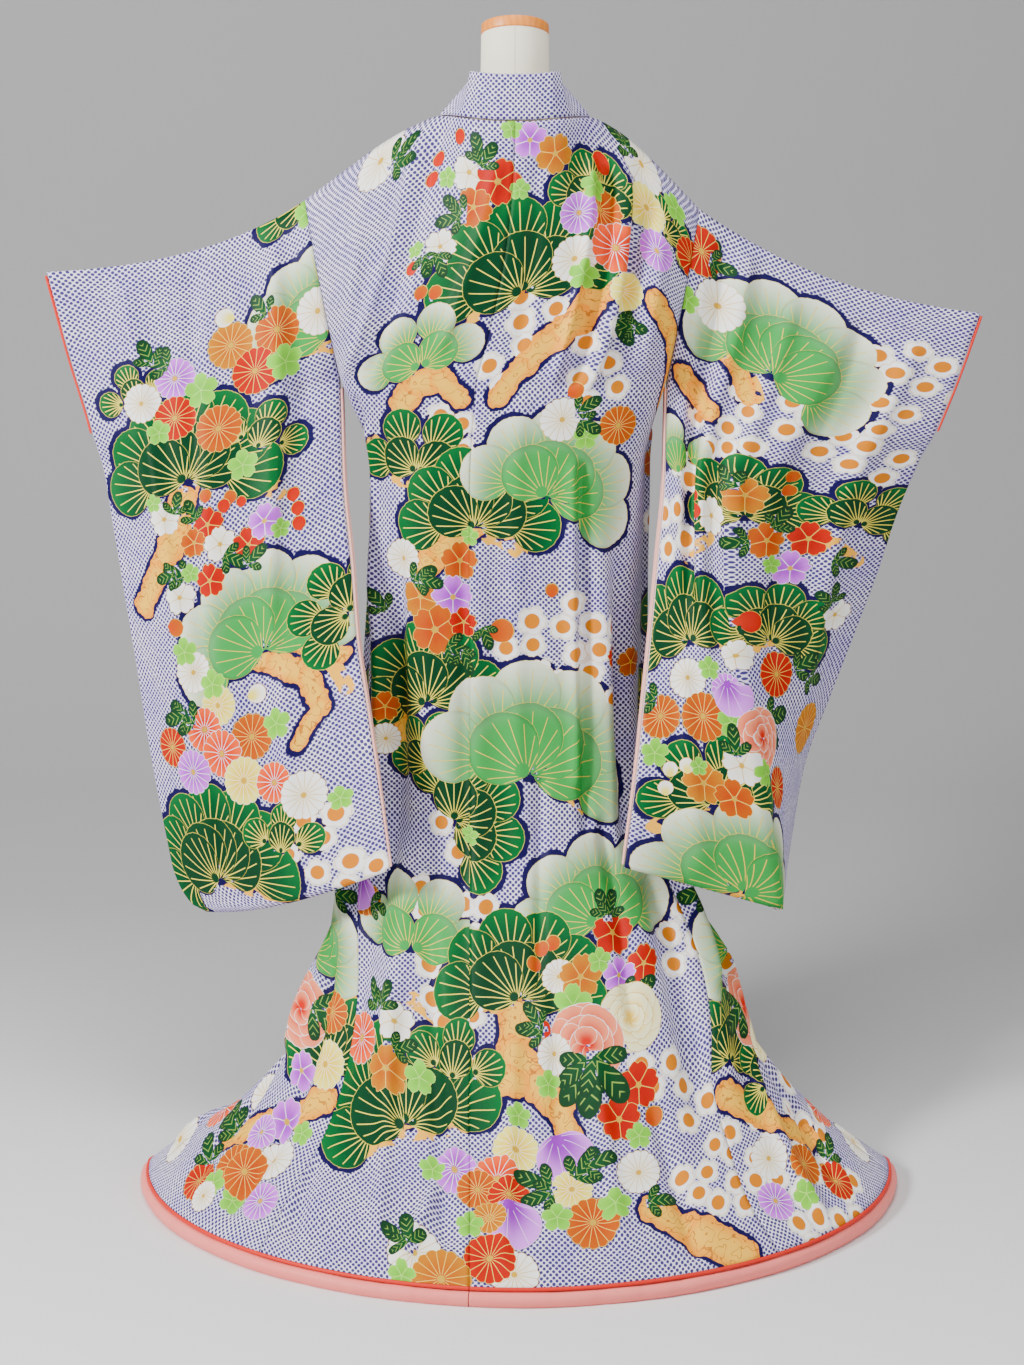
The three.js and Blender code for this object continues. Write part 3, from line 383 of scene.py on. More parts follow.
def silk_material(name, layers):
    """Dyed silk with the given number of pattern layers over its ground."""
    made = plain_material(name, WHITE, 0.5)
    tree = made.node_tree
    place = tree.nodes.new("ShaderNodeAttribute")
    place.attribute_name = "cloth"
    cloth = place.outputs["Vector"]
    colour, dot = dyed_ground(tree, cloth)
    if layers:
        shake = noise(tree, cloth, 0.16, 1)
        grain = noise(tree, cloth, 0.055, 1.5)
        wander = (shake - 0.5) * EDGE_SHAKE
        group = motif_group()
        drawn = []
        for layer in range(layers):
            spot, style = (tree.nodes.new("ShaderNodeAttribute") for _ in range(2))
            spot.attribute_name, style.attribute_name = f"spot{layer}", f"style{layer}"
            node = tree.nodes.new("ShaderNodeGroup")
            node.node_tree = group
            for source, target in ((cloth, "Cloth"), (wander.socket, "Wander"), (grain.socket, "Grain"),
                                   (spot.outputs["Vector"], "Spot"), (spot.outputs["Alpha"], "Turn"),
                                   (style.outputs["Vector"], "Style"), (style.outputs["Alpha"], "Clump")):
                tree.links.new(source, node.inputs[target])
            if drawn:
                tree.links.new(drawn[-1].outputs["Mask"], node.inputs["Before"])
            drawn.append(node)
        for kind, paint in (("White", HALO_WHITE), ("Navy", NAVY)):
            most = Wire(tree, drawn[0].outputs[kind])
            for node in drawn[1:]:
                most = most.math("MAXIMUM", Wire(tree, node.outputs[kind]))
            colour = mixed(tree, most, colour, paint)
        for node in drawn:
            colour = mixed(tree, Wire(tree, node.outputs["Mask"]), colour, node.outputs["Fill"])
    crepe = noise(tree, cloth, 0.9, 2) + dot * -0.6
    return surfaced(made, colour, gloss=0.12, height=crepe, strength=0.25, distance=0.0004)


PATTERNED, KNOTTED = silk_material("patterned_silk", LAYERS), silk_material("knotted_silk", 0)
LINING = plain_material("silk_lining", (0.80, 0.60, 0.58), 0.55)

# Where each form lies on the flat cloth. strips: width, then points along it. plums: ends of a
# spray and its blossoms. barks: points of a branch with its half width. pines: tone, middle, size,
# lean, spread and lobes. flowers: kind, middle, size and, where it isn't upright, lean.
MOTIFS = {}
MOTIFS["back"] = {
    "strips": [
        (10, 40, 265, -5, 240, -55, 215), (12, -105, 495, -150, 510, -195, 560),
        (11, 0, 560, -40, 560, -70, 580), (11, -30, 860, -100, 880, -165, 935),
        (11, 145, 435, 105, 485, 85, 485), (12, 185, 1415, 95, 1365, 5, 1340),
        (10, -20, 1195, -40, 1195), (11, 80, 1195, 40, 1215),
    ],
    "plums": [
        (-60, 240, -45, 295, 5), (-20, 310, -10, 350, 4), (-150, 275, -170, 370, 6),
        (5, 390, 40, 435, 6), (-130, 655, -190, 710, 7), (-70, 700, -200, 795, 14),
        (45, 885, 10, 990, 10), (85, 1065, -15, 1085, 7), (55, 1140, 15, 1215, 12),
        (0, 1180, 15, 1265, 5), (-310, 1075, -335, 1160, 8), (-250, 1265, -310, 1330, 9),
        (-295, 1300, -360, 1415, 16), (-295, 1415, -370, 1490, 12),
    ],
    "barks": [
        [(-135, 215, 22), (-115, 265, 21), (-80, 295, 19), (-55, 330, 17), (-30, 370, 11)],
        [(-230, 215, 19), (-270, 265, 18), (-285, 330, 17), (-285, 380, 12)],
        [(100, 380, 18), (80, 350, 19), (50, 345, 18), (20, 370, 12)],
        [(65, 605, 19), (40, 580, 21), (0, 550, 17)],
        [(120, 795, 15), (110, 850, 12)],
        [(-65, 1195, 22), (-60, 1255, 24), (-90, 1290, 22), (-120, 1320, 19), (-140, 1375, 12)],
        [(-60, 1290, 21), (-10, 1280, 19)],
        [(-235, 1470, 18), (-300, 1515, 22), (-355, 1555, 25)],
        [(-60, 1450, 17), (-25, 1460, 14)],
    ],
    "pines": [
        ("dark", -35, 230, 132, 15, 150, 5), ("dark", -120, 115, 76, 0, 130, 4),
        ("dark", -235, 105, 62, -50, 110, 3), ("light", 80, 330, 86, 20, 150, 4),
        ("dark", 75, 475, 92, -5, 160, 4), ("dark", -10, 550, 114, 0, 175, 6),
        ("light", -105, 510, 125, -22, 175, 6), ("dark", 60, 795, 114, 12, 160, 5),
        ("dark", 25, 955, 103, -62, 170, 5), ("dark", 55, 880, 76, 10, 150, 4),
        ("light", -85, 895, 161, -14, 165, 6), ("light", -180, 1095, 122, 5, 165, 5),
        ("light", 85, 1130, 108, -8, 150, 4), ("dark", -70, 1190, 122, -4, 175, 6),
        ("dark", 85, 1355, 136, 22, 170, 5), ("dark", 25, 1290, 76, -10, 120, 3),
    ],
    "flowers": [
        ("five_white", 60, 70, 28, -10), ("five_red", 20, 80, 33, -20),
        ("five_orange", 50, 115, 28, -40), ("five_lilac", -20, 25, 26),
        ("five_amber", -55, 45, 28, -30), ("five_white", 90, 170, 24, -15), ("bud_red", 80, 25, 11),
        ("bud_red", 115, 55, 11, 30), ("bud_red", 120, 80, 11, 20), ("bud_red", 125, 195, 10, 20),
        ("bud_orange", 105, 230, 10, -10), ("bud_orange", 85, 230, 10, -30),
        ("leaf_dark", 50, 35, 19, 20), ("leaf_dark", 35, 45, 19, -30), ("leaf_dark", 80, 115, 19, 60),
        ("leaf_dark", 85, 135, 19, 110), ("leaf_dark", 105, 195, 17, -160),
        ("leaf_dark", 85, 195, 17, -150), ("leaf_green", 95, 80, 15), ("leaf_green", -10, 90, 15),
        ("leaf_green", 5, 10, 15), ("leaf_green", 125, 170, 12), ("bud_red", -130, 55, 14, 50),
        ("mum_white", -203, 22, 36), ("mum_cream", -205, 80, 33), ("mum_orange", -125, 115, 32),
        ("mum_lilac", -95, 125, 28), ("mum_white", -95, 185, 31), ("mum_coral", -150, 160, 35),
        ("mum_lilac", -225, 135, 31), ("mum_red", -295, 105, 35), ("mum_cream", -180, 215, 31),
        ("leaf_green", -260, 45, 22), ("leaf_green", -110, 205, 21), ("leaf_green", -115, 90, 19),
        ("leaf_dark", -168, 8, 19, 60), ("leaf_dark", -184, 2, 17, -20),
        ("leaf_dark", -200, 265, 21, -90), ("leaf_dark", -190, 275, 21, -150),
        ("leaf_dark", -185, 265, 18, 90), ("mum_white", -120, 400, 31), ("mum_orange", -200, 410, 28),
        ("leaf_green", -155, 425, 19), ("leaf_dark", -155, 380, 19, -60),
        ("leaf_dark", -160, 410, 18, -120), ("bud_orange", -135, 360, 12, -60),
        ("mum_white", 100, 595, 28), ("five_orange", 15, 595, 28), ("five_amber", 70, 645, 31),
        ("five_lilac", 25, 645, 31), ("five_orange", 50, 690, 36, -20), ("five_red", 10, 680, 22),
        ("leaf_dark", 65, 615, 21, -60), ("leaf_dark", 55, 625, 18, -100),
        ("leaf_dark", 15, 720, 21, -110), ("leaf_dark", 5, 735, 18, -150), ("leaf_green", 0, 560, 14),
        ("bud_orange", -45, 690, 18, -80), ("leaf_dark", -25, 700, 17, -160),
        ("bud_orange", -115, 635, 10), ("five_orange", 140, 805, 22), ("mum_white", 140, 850, 22),
        ("leaf_dark", 145, 655, 18, 40), ("five_orange", -265, 745, 22), ("five_red", -210, 730, 17),
        ("leaf_green", 0, 970, 14), ("five_red", -200, 1105, 31), ("five_red", -245, 1150, 26),
        ("mum_white", -125, 1160, 24), ("five_amber", -155, 1160, 31), ("five_lilac", -210, 1160, 25),
        ("bud_orange", -115, 1115, 11, -20), ("bud_orange", -100, 1120, 11, 30),
        ("bud_orange", -90, 1140, 11, 60), ("leaf_dark", -185, 1065, 19, 20),
        ("leaf_dark", -200, 1065, 19, -15), ("leaf_dark", -245, 1180, 22, -60),
        ("leaf_dark", -250, 1195, 19, -120), ("leaf_green", -145, 1195, 28),
        ("leaf_green", -180, 1140, 17), ("peony_cream", -225, 1215, 50),
        ("peony_coral", -160, 1245, 58), ("five_red", -230, 1300, 31), ("five_red", -200, 1340, 32),
        ("mum_white", -115, 1255, 25), ("bud_red", -100, 1225, 12, 60),
        ("leaf_dark", -145, 1290, 33, 140), ("leaf_dark", -160, 1300, 36, -180),
        ("leaf_dark", -190, 1290, 36, -140), ("leaf_dark", -80, 1225, 19, 80),
        ("leaf_dark", -85, 1205, 18, 30), ("leaf_green", -105, 1290, 18),
        ("bud_orange", -250, 1340, 14, -60), ("leaf_green", -65, 1330, 17),
        ("mum_cream", -60, 1375, 31), ("bell_lilac", -125, 1385, 36, -160), ("mum_lilac", 20, 1405, 31),
        ("mum_coral", -35, 1415, 33), ("mum_orange", -10, 1430, 28), ("mum_red", -50, 1440, 28),
        ("mum_cream", -130, 1430, 28), ("mum_white", -220, 1415, 31), ("mum_orange", -155, 1480, 36),
        ("leaf_dark", -80, 1415, 25, 70), ("leaf_dark", -85, 1440, 22, 110),
        ("leaf_dark", -150, 1395, 25, -40), ("leaf_dark", -170, 1395, 22, -80),
        ("leaf_dark", -250, 1460, 21, -90), ("leaf_green", -185, 1460, 24),
        ("leaf_green", -110, 1470, 21), ("leaf_green", 50, 1405, 19), ("leaf_green", -225, 1365, 19),
        ("bell_lilac", -55, 1480, 33, -170), ("mum_white", -55, 1545, 31), ("mum_amber", -25, 1470, 22),
        ("mum_red", -25, 1525, 33), ("mum_white", 70, 1525, 36), ("mum_amber", 35, 1555, 39),
        ("leaf_dark", 95, 1505, 22, 60), ("leaf_dark", 80, 1495, 22, 10), ("leaf_green", 0, 1480, 19),
        ("leaf_green", 85, 1555, 19), ("five_white", 105, 1225, 28), ("mum_coral", 170, 1255, 33),
        ("five_amber", 115, 1290, 33), ("leaf_green", 70, 1290, 22), ("leaf_dark", 150, 1195, 21, 30),
        ("leaf_dark", 120, 1190, 21, -20), ("leaf_dark", 90, 1255, 18, -70),
        ("mum_orange", 180, 1075, 25), ("bell_lilac", 195, 1065, 28, 160),
        ("leaf_dark", 155, 1085, 18, -100), ("mum_white", 210, 25, 36), ("leaf_dark", 170, 25, 22, -60),
        ("leaf_dark", 165, 45, 19, -100),
    ],
}
MOTIFS["sleeve_right"] = {
    "strips": [
        (11, 80, 155, 110, 175, 135, 210), (8, 65, 475, 115, 440), (10, 275, 435, 315, 465),
        (11, 125, 590, 195, 600), (10, 25, 840, 75, 805), (12, 40, 910, 110, 900, 210, 885),
    ],
    "plums": [
        (115, 225, 200, 230, 9), (175, 120, 250, 130, 7), (235, 190, 330, 210, 12),
        (55, 290, 150, 275, 9), (250, 260, 330, 305, 9), (35, 340, 60, 395, 5), (290, 90, 335, 170, 5),
        (5, 435, 65, 450, 5),
    ],
    "barks": [
        [(25, 225, 17), (50, 240, 17), (80, 260, 14)],
        [(55, 150, 15), (95, 175, 17), (125, 215, 11)],
    ],
    "pines": [
        ("light", 140, 175, 136, 18, 185, 7), ("light", 35, 370, 83, -20, 130, 3),
        ("dark", 160, 405, 100, -8, 165, 5), ("dark", 305, 405, 81, 14, 165, 4),
        ("dark", 70, 595, 108, -12, 165, 5), ("dark", 200, 595, 97, 16, 165, 5),
        ("dark", 90, 800, 86, -8, 165, 4), ("light", 120, 905, 114, 2, 170, 5),
    ],
    "flowers": [
        ("mum_white", 50, 110, 36), ("leaf_green", 5, 125, 19), ("leaf_dark", 25, 40, 19, 40),
        ("mum_red", 12, 52, 33), ("leaf_dark", 45, 55, 19, 90), ("five_amber", 160, 370, 31),
        ("five_white", 115, 410, 28), ("five_orange", 190, 435, 28), ("five_red", 245, 430, 28),
        ("five_lilac", 225, 475, 28), ("leaf_dark", 135, 345, 21, -50), ("leaf_dark", 210, 400, 21, 30),
        ("leaf_dark", 295, 465, 21, 100), ("leaf_dark", 150, 440, 18, -100), ("bud_red", 80, 390, 11),
        ("bud_orange", 215, 330, 11, 20), ("bud_orange", 215, 355, 11, 50),
        ("bud_red", 85, 410, 11, -20), ("leaf_green", 200, 470, 15), ("five_white", 300, 555, 29),
        ("leaf_dark", 290, 515, 18), ("leaf_dark", 275, 525, 18, -50), ("bud_red", 165, 560, 19, 95),
        ("five_white", 145, 610, 24), ("mum_white", 65, 645, 29), ("mum_red", 205, 640, 32),
        ("mum_orange", 25, 695, 28), ("mum_orange", 85, 695, 31), ("mum_lilac", 125, 660, 25),
        ("leaf_dark", 260, 625, 22, 60), ("leaf_dark", 285, 650, 19, 100), ("leaf_green", 100, 630, 18),
        ("leaf_green", 125, 700, 21), ("leaf_dark", 0, 670, 19, -80), ("leaf_dark", 205, 695, 24, 80),
        ("leaf_dark", 190, 715, 24, 140), ("peony_coral", 165, 720, 42), ("mum_amber", 295, 715, 33),
        ("leaf_green", 20, 740, 19), ("five_amber", 80, 775, 28), ("five_white", 130, 750, 26),
        ("five_orange", 115, 790, 25), ("mum_red", 200, 780, 25), ("leaf_dark", 125, 720, 19),
        ("leaf_green", 160, 760, 17), ("bud_cream", 40, 760, 10), ("bud_cream", 35, 785, 10),
        ("bud_cream", 60, 755, 10), ("bell_lilac", 130, 670, 24, 170), ("leaf_green", 75, 755, 12),
    ],
}
MOTIFS["front_right"] = {
    "plums": [
        (65, 1095, 110, 1190, 8), (160, 1205, 55, 1270, 10), (30, 1385, 60, 1515, 18),
        (35, 1505, 80, 1555, 10), (175, 1375, 205, 1450, 5), (130, 1450, 185, 1555, 10),
        (65, 1535, 130, 1555, 6),
    ],
    "pines": [
        ("dark", 120, 1340, 72, -45, 130, 3),
    ],
}
MOTIFS["front_left"] = {
    "barks": [
        [(10, 1150, 19), (20, 1195, 17), (10, 1225, 12)],
    ],
    "flowers": [
        ("mum_orange", 40, 1235, 28), ("mum_cream", 35, 1300, 31), ("leaf_dark", 160, 1280, 19, 60),
        ("five_lilac", 85, 1320, 25), ("five_lilac", 80, 1385, 31), ("mum_white", 175, 1375, 25),
        ("mum_lilac", 110, 1415, 25), ("mum_orange", 95, 1470, 36), ("leaf_green", 135, 1505, 22),
        ("leaf_dark", 205, 1420, 21, 60), ("leaf_dark", 200, 1430, 21, 90),
        ("mum_white", 140, 1525, 22), ("leaf_green", 35, 1395, 18),
    ],
}
MOTIFS["sleeve_left"] = {
    "strips": [
        (12, 45, 185, 0, 190, 0, 195), (12, 330, 320, 280, 305, 230, 300),
        (12, 180, 305, 125, 340, 85, 370), (10, 90, 570, 40, 595, 20, 650),
        (12, 330, 870, 250, 860, 150, 900),
    ],
    "plums": [
        (115, 825, 65, 870, 6), (75, 790, 40, 840, 6), (50, 880, 20, 910, 4),
    ],
    "barks": [
        [(205, 300, 19), (220, 350, 21), (240, 400, 21), (275, 445, 19), (310, 485, 17)],
        [(140, 580, 15), (105, 595, 17), (65, 625, 17), (55, 665, 12), (90, 710, 8)],
        [(20, 605, 11), (90, 570, 14)],
    ],
    "pines": [
        ("light", 0, 185, 122, -2, 178, 7), ("dark", 270, 200, 58, 15, 130, 3),
        ("dark", 210, 325, 131, -4, 178, 7), ("dark", 110, 305, 67, -25, 130, 3),
        ("light", 120, 580, 136, 12, 172, 6), ("dark", 5, 555, 81, 55, 160, 4),
        ("dark", 245, 870, 131, 0, 178, 7), ("dark", 135, 845, 67, -15, 120, 3),
        ("dark", 0, 0, 83, 30, 130, 4),
    ],
    "flowers": [
        ("leaf_green", 0, 15, 22), ("mum_white", 10, 145, 32), ("mum_orange", 70, 150, 32),
        ("mum_amber", 135, 150, 32), ("mum_red", 105, 195, 32), ("mum_lilac", 215, 175, 29),
        ("mum_white", 265, 200, 28), ("mum_red", 220, 230, 31), ("mum_orange", 160, 260, 33),
        ("leaf_green", 180, 200, 25), ("leaf_green", 65, 195, 25), ("leaf_green", 130, 320, 22),
        ("leaf_green", 245, 245, 18), ("leaf_dark", 240, 145, 21, 60), ("leaf_dark", 250, 130, 19, 20),
        ("leaf_dark", 90, 110, 19, 30), ("bud_cream", 140, 110, 14, 70), ("five_white", 250, 370, 25),
        ("five_red", 185, 390, 25), ("five_white", 170, 420, 25), ("five_red", 130, 430, 25),
        ("five_lilac", 105, 405, 25), ("five_orange", 210, 410, 21), ("five_red", 190, 465, 24),
        ("five_white", 240, 480, 25), ("bud_orange", 185, 350, 10), ("bud_orange", 150, 360, 10),
        ("bud_red", 160, 370, 10), ("bud_red", 135, 370, 8), ("bud_red", 65, 380, 10),
        ("bud_red", 60, 400, 10), ("bud_red", 60, 420, 10), ("leaf_dark", 210, 365, 17, 20),
        ("leaf_dark", 230, 350, 17, -20), ("leaf_dark", 150, 445, 19, -120),
        ("leaf_dark", 120, 445, 18, -60), ("leaf_dark", 245, 445, 19, 60),
        ("leaf_dark", 260, 450, 18, 100), ("leaf_green", 265, 345, 14), ("leaf_green", 85, 420, 14),
        ("leaf_green", 220, 450, 14), ("bud_orange", 255, 520, 14, -100), ("mum_white", 235, 585, 29),
        ("mum_cream", 200, 635, 28), ("mum_coral", 230, 665, 31), ("mum_orange", 155, 685, 31),
        ("mum_red", 295, 685, 28), ("mum_coral", 205, 700, 33), ("mum_lilac", 260, 720, 31),
        ("mum_cream", 175, 740, 32), ("mum_coral", 130, 750, 28), ("mum_white", 90, 775, 32),
        ("leaf_green", 115, 675, 22), ("leaf_green", 205, 605, 22), ("leaf_green", 245, 555, 21),
        ("leaf_dark", 265, 640, 25, 50), ("leaf_dark", 280, 645, 22, 100), ("leaf_green", 45, 790, 17),
        ("bud_cream", 140, 630, 14, -80),
    ],
}


TRIES, SPRAY, APART = 7, 30, 31   # draws for each blossom, half width of a spray, least distance
PLUM_SIZES, LEAFLET_LEAN, FAR_OFF = (17, 20), 0.95, -9999.0
# Rings of a peony, outermost first: petals, where they start and how long they are, by its size.
PEONY_RINGS = ((9, 0.22, 0.80), (7, 0.10, 0.64), (5, 0.0, 0.46))


def dressed(outline):
    """The forms of one piece of cloth in the order they are dyed, lowest first: kind, place, size,
    lean and half length of the straight part, both of these in the form's own measure."""
    chance = np.random.default_rng(len(outline["flowers"]))
    forms = []

    def line(kind, start, end, half):
        step = np.subtract(end, start)
        run = max(float(np.hypot(*step)), 1e-3)
        middle = np.add(start, end) / 2
        forms.append((kind, *middle, half, atan2(step[0], -step[1]), run / 2 / half, 0, 0))

    for half, *points in outline["strips"]:
        points = np.reshape(points, (-1, 2))
        for start, end in zip(points, points[1:]):
            line("strip", start, end, half)
    opened = np.full((1, 2), FAR_OFF)
    for u0, v0, u1, v1, blossoms in outline["plums"]:
        ahead = np.array([u1 - u0, v1 - v0], float)
        beside = np.array([-ahead[1], ahead[0]]) / max(np.hypot(*ahead), 1)
        for _ in range(int(blossoms * TRIES)):
            spot = (u0, v0) + ahead * chance.uniform(-0.05, 1.05) + beside * chance.uniform(-SPRAY, SPRAY)
            if np.linalg.norm(opened - spot, axis=1).min() > APART:
                opened = np.vstack([opened, spot])
                size, lean = chance.uniform(*PLUM_SIZES), chance.uniform(-pi, pi)
                forms.append(("plum", *spot, size, lean, 0, 0, 0))
    for path in outline["barks"]:
        for (u0, v0, r0), (u1, v1, r1) in zip(path, path[1:]):
            line("bark", (u0, v0), (u1, v1), (r0 + r1) / 2)
    for tone, u, v, size, lean, spread, lobes in outline["pines"]:
        def lobe(angle, start, length):
            spot = (u + start * np.sin(angle), v - start * np.cos(angle))
            forms.append(("pine_" + tone, *spot, length, angle, 0, start / length, length / 1.02 / size))
        for angle in np.linspace(-spread / 2, spread / 2, lobes):
            lobe(radians(lean + angle), 0.42 * size, 0.60 * size)
        for angle in np.linspace(-55, 55, max(lobes - 2, 1)) * (lobes > 3):
            lobe(radians(lean + angle), 0.04 * size, 0.62 * size)
    for kind, u, v, size, *leant in outline["flowers"]:
        lean = radians(sum(leant))
        if kind.startswith("peony"):
            for ring, (petals, start, length) in enumerate(PEONY_RINGS):
                for k in range(petals):
                    angle = lean + (k + ring * 0.5) * 2 * pi / petals + chance.uniform(-0.12, 0.12)
                    spot = (u + start * size * np.sin(angle), v - start * size * np.cos(angle))
                    forms.append((kind, *spot, length * size, angle, 0, 0, 0))
            continue
        grows = KINDS[kind][4][3] > 0
        spot = (u - size * np.sin(lean), v + size * np.cos(lean)) if grows else (u, v)
        if kind == "leaf_dark":
            for aside in (-LEAFLET_LEAN, LEAFLET_LEAN):
                forms.append((kind, *spot, size * 1.35, lean + aside, 0, 0, 0))
        forms.append((kind, *spot, size * (2 if grows else 1), lean, 0, 0, 0))
    return forms


CELL_REACH, WANDER = 4.8, 1.4   # how far a face reaches, and an edge shakes, from where it is named


def off_form(kind, x, y):
    """How far outside a form's edge a place is, in the form's own measure; the shader's own sums."""
    count, depth, notch, fan = KINDS[kind][4]
    angle = np.arctan2(x, y)
    petal = np.abs((angle * count / (2 * pi) + 0.5) % 1 - 0.5) * 2
    lobe = np.cos(np.minimum(np.abs(angle * fan), pi / 2)) ** 0.7
    return np.hypot(x, y) - (1 - depth * petal ** 2 - notch * (1 - smooth(petal, 0, 0.3))) * lobe


def stamp(piece, faces, forms):
    """Gives each face of the cloth the topmost forms that reach it, lowest layer first."""
    spots, styles = (np.zeros((LAYERS, len(faces), 4), np.float32) for _ in range(2))
    spots[..., :3] = (FAR_OFF, FAR_OFF, 1)
    used = np.zeros(len(faces), int)
    covered = np.zeros(len(faces), bool)
    for kind, u, v, size, lean, stretch, behind, clump in reversed(forms):
        across, down = (faces - (u, v)).T
        x = (across * np.cos(lean) + down * np.sin(lean)) / size
        y = (across * np.sin(lean) - down * np.cos(lean)) / size
        off = off_form(kind, x, y - np.clip(y, -stretch, stretch)) * size
        reach = abs(KINDS[kind][6][2]) * 1.4 + (CELL_REACH + WANDER) * 1.5
        hit = np.flatnonzero((off < reach) & ~covered & (used < LAYERS))
        layer = LAYERS - 1 - used[hit]
        spots[layer, hit] = (u, v, size, lean)
        styles[layer, hit] = ((KIND_NAMES.index(kind) + 0.5) / RAMP_STOPS, stretch, behind, clump)
        used[hit] += 1
        if kind != "strip":
            covered |= off < -(CELL_REACH + WANDER) * 1.3
    for name, values in (("spot", spots), ("style", styles)):
        for layer in range(LAYERS):
            made = piece.data.attributes.new(f"{name}{layer}", "FLOAT_COLOR", "FACE")
            made.data.foreach_set("color", values[layer].ravel())


CREASE_DEPTH, PUCKER, RIPPLE = 2.1, 0.55, 0.35
SIDE_HELD, END_HELD = 0.06, 0.02


def creased(places, cloth, creases, turn):
    """Presses soft creases into hung cloth: each is a line on the flat cloth, a width and a depth."""
    wide, high = np.gradient(places, axis=1), np.gradient(places, axis=0)
    normal = np.cross(wide, high)
    normal = normal / np.maximum(np.linalg.norm(normal, axis=2, keepdims=True), 1e-9)
    rise = np.zeros(places.shape[:2])
    for u0, v0, u1, v1, width, depth in creases:
        start, line = np.array([u0, v0], float), np.array([u1 - u0, v1 - v0], float)
        part = ((cloth - start) @ line) / (line @ line)
        off = np.linalg.norm(cloth - start - np.clip(part, 0, 1)[..., None] * line, axis=2) / width
        ends = np.exp(-np.clip(np.abs(part - 0.5) - 0.4, 0, None) ** 2 * 30)
        rise += CREASE_DEPTH * depth * np.exp(-off * off) * ends
    u, v = cloth[..., 0], cloth[..., 1]
    rise += PUCKER * np.sin(u / 31 + v / 83) * np.sin(v / 57 - u / 71) + RIPPLE * np.sin(u / 17 - v / 41)
    sides, ends = np.linspace(0, 1, places.shape[1]), np.linspace(0, 1, places.shape[0])
    held = smooth(sides, 0, SIDE_HELD) * (1 - smooth(sides, 1 - SIDE_HELD, 1))
    sewn = smooth(ends, 0, END_HELD) * (1 - smooth(ends, 1 - END_HELD, 1))
    return places + normal * (rise * sewn[:, None] * held)[..., None] * turn


SILK_THICKNESS = 2.0


def panel(name, places, cloth, forms, flat, turn, area=None, material=None, thick=SILK_THICKNESS):
    """A length of lined silk: its grid hung in place, dyed, lined with a second thickness behind."""
    if turn < 0:
        places, cloth = places[:, ::-1], cloth[:, ::-1]
    rows, columns = places.shape[0] - 1, places.shape[1] - 1
    made = hang("silk_" + name, columns, rows, places.reshape(-1, 3) / 1000)
    spread = made.data.attributes.new("cloth", "FLOAT_VECTOR", "POINT")
    flat_places = np.dstack([cloth, np.zeros(cloth.shape[:2])]).astype(np.float32)
    spread.data.foreach_set("vector", flat_places.ravel())
    if forms is not None:
        middles = (cloth[:-1, :-1] + cloth[1:, 1:] + cloth[:-1, 1:] + cloth[1:, :-1]) / 4
        stamp(made, middles.reshape(-1, 2), forms)
    made.data.materials.append(material or PATTERNED)
    made.data.materials.append(LINING)
    wall = made.modifiers.new("wall", "SOLIDIFY")
    wall.thickness, wall.offset, wall.material_offset = thick / 1000, -1, 1
    wall.use_rim, wall.material_offset_rim = True, 0
    bpy.ops.object.select_all(action="DESELECT")
    made.select_set(True)
    bpy.context.view_layer.objects.active = made
    bpy.ops.object.modifier_apply(modifier="wall")
    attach(made, "root")
    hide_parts(name)
    return made


# ------------------------------------------------------------------ the body's shape
# The furisode hangs from the form's shoulders and trails behind. Its shape is worked out as rings
# at a height, as the cutter's widths would fall, and each panel takes its share of a ring.
# Sizes in these tables are millimetres; the meshes are made in metres.

WALL = 2.0
PRESSED = 2.6
ARMPIT, SLIT_END, HEM_EDGE = 1075.0, 935.0, 24.0
SLIT_HALF, RIDGE_HALF, ARMHOLE_SWELL = 10.0, 2.0, 24.0
YOKE_SHARE = 0.19


def table(columns, rows):
    return dict(zip(columns.split(), np.array(rows, float).T))


RINGS = table("z left right back mid front edge seam side overlap power", [
    (1075, 241, 209, 104, 20, -106, 84, 52, 90, 0.00, 2.30),
    (940, 196, 179, 101, 2, -116, 84, 61, 90, 0.16, 2.30),
    (760, 201, 177, 103, 0, -114, 86, 62, 88, 0.32, 2.30),
    (615, 207, 174, 110, 2, -106, 92, 62, 84, 0.39, 2.20),
    (470, 208, 188, 142, 22, -86, 102, 62, 76, 0.41, 2.10),
    (367, 236, 234, 192, 58, -48, 116, 61, 68, 0.42, 2.00),
    (276, 260, 288, 258, 98, 0, 136, 61, 60, 0.42, 1.95),
    (213, 283, 320, 318, 128, 38, 156, 60, 55, 0.42, 1.90),
    (150, 320, 348, 395, 160, 76, 188, 60, 50, 0.42, 1.85),
    (95, 378, 400, 482, 198, 112, 238, 58, 46, 0.42, 1.80),
    (60, 443, 450, 565, 224, 136, 292, 57, 43, 0.42, 1.82),
    (24, 499, 509, 663, 246, 150, 338, 56, 41, 0.42, 1.92),
])

TOP_LINE = {
    "left": table("x y z", [
        (0, 86, 1416), (22, 85, 1416), (58, 73, 1419), (101, 20, 1424),
        (136, 6, 1412), (177, 2, 1390), (232, 0, 1352), (287, 0, 1312),
    ]),
    "right": table("x y z", [
        (0, 86, 1416), (-22, 85, 1416), (-58, 73, 1419), (-101, 20, 1422),
        (-134, 6, 1408), (-170, 2, 1381), (-208, 0, 1345), (-252, 0, 1300),
    ]),
}
NECK_ROW = 3

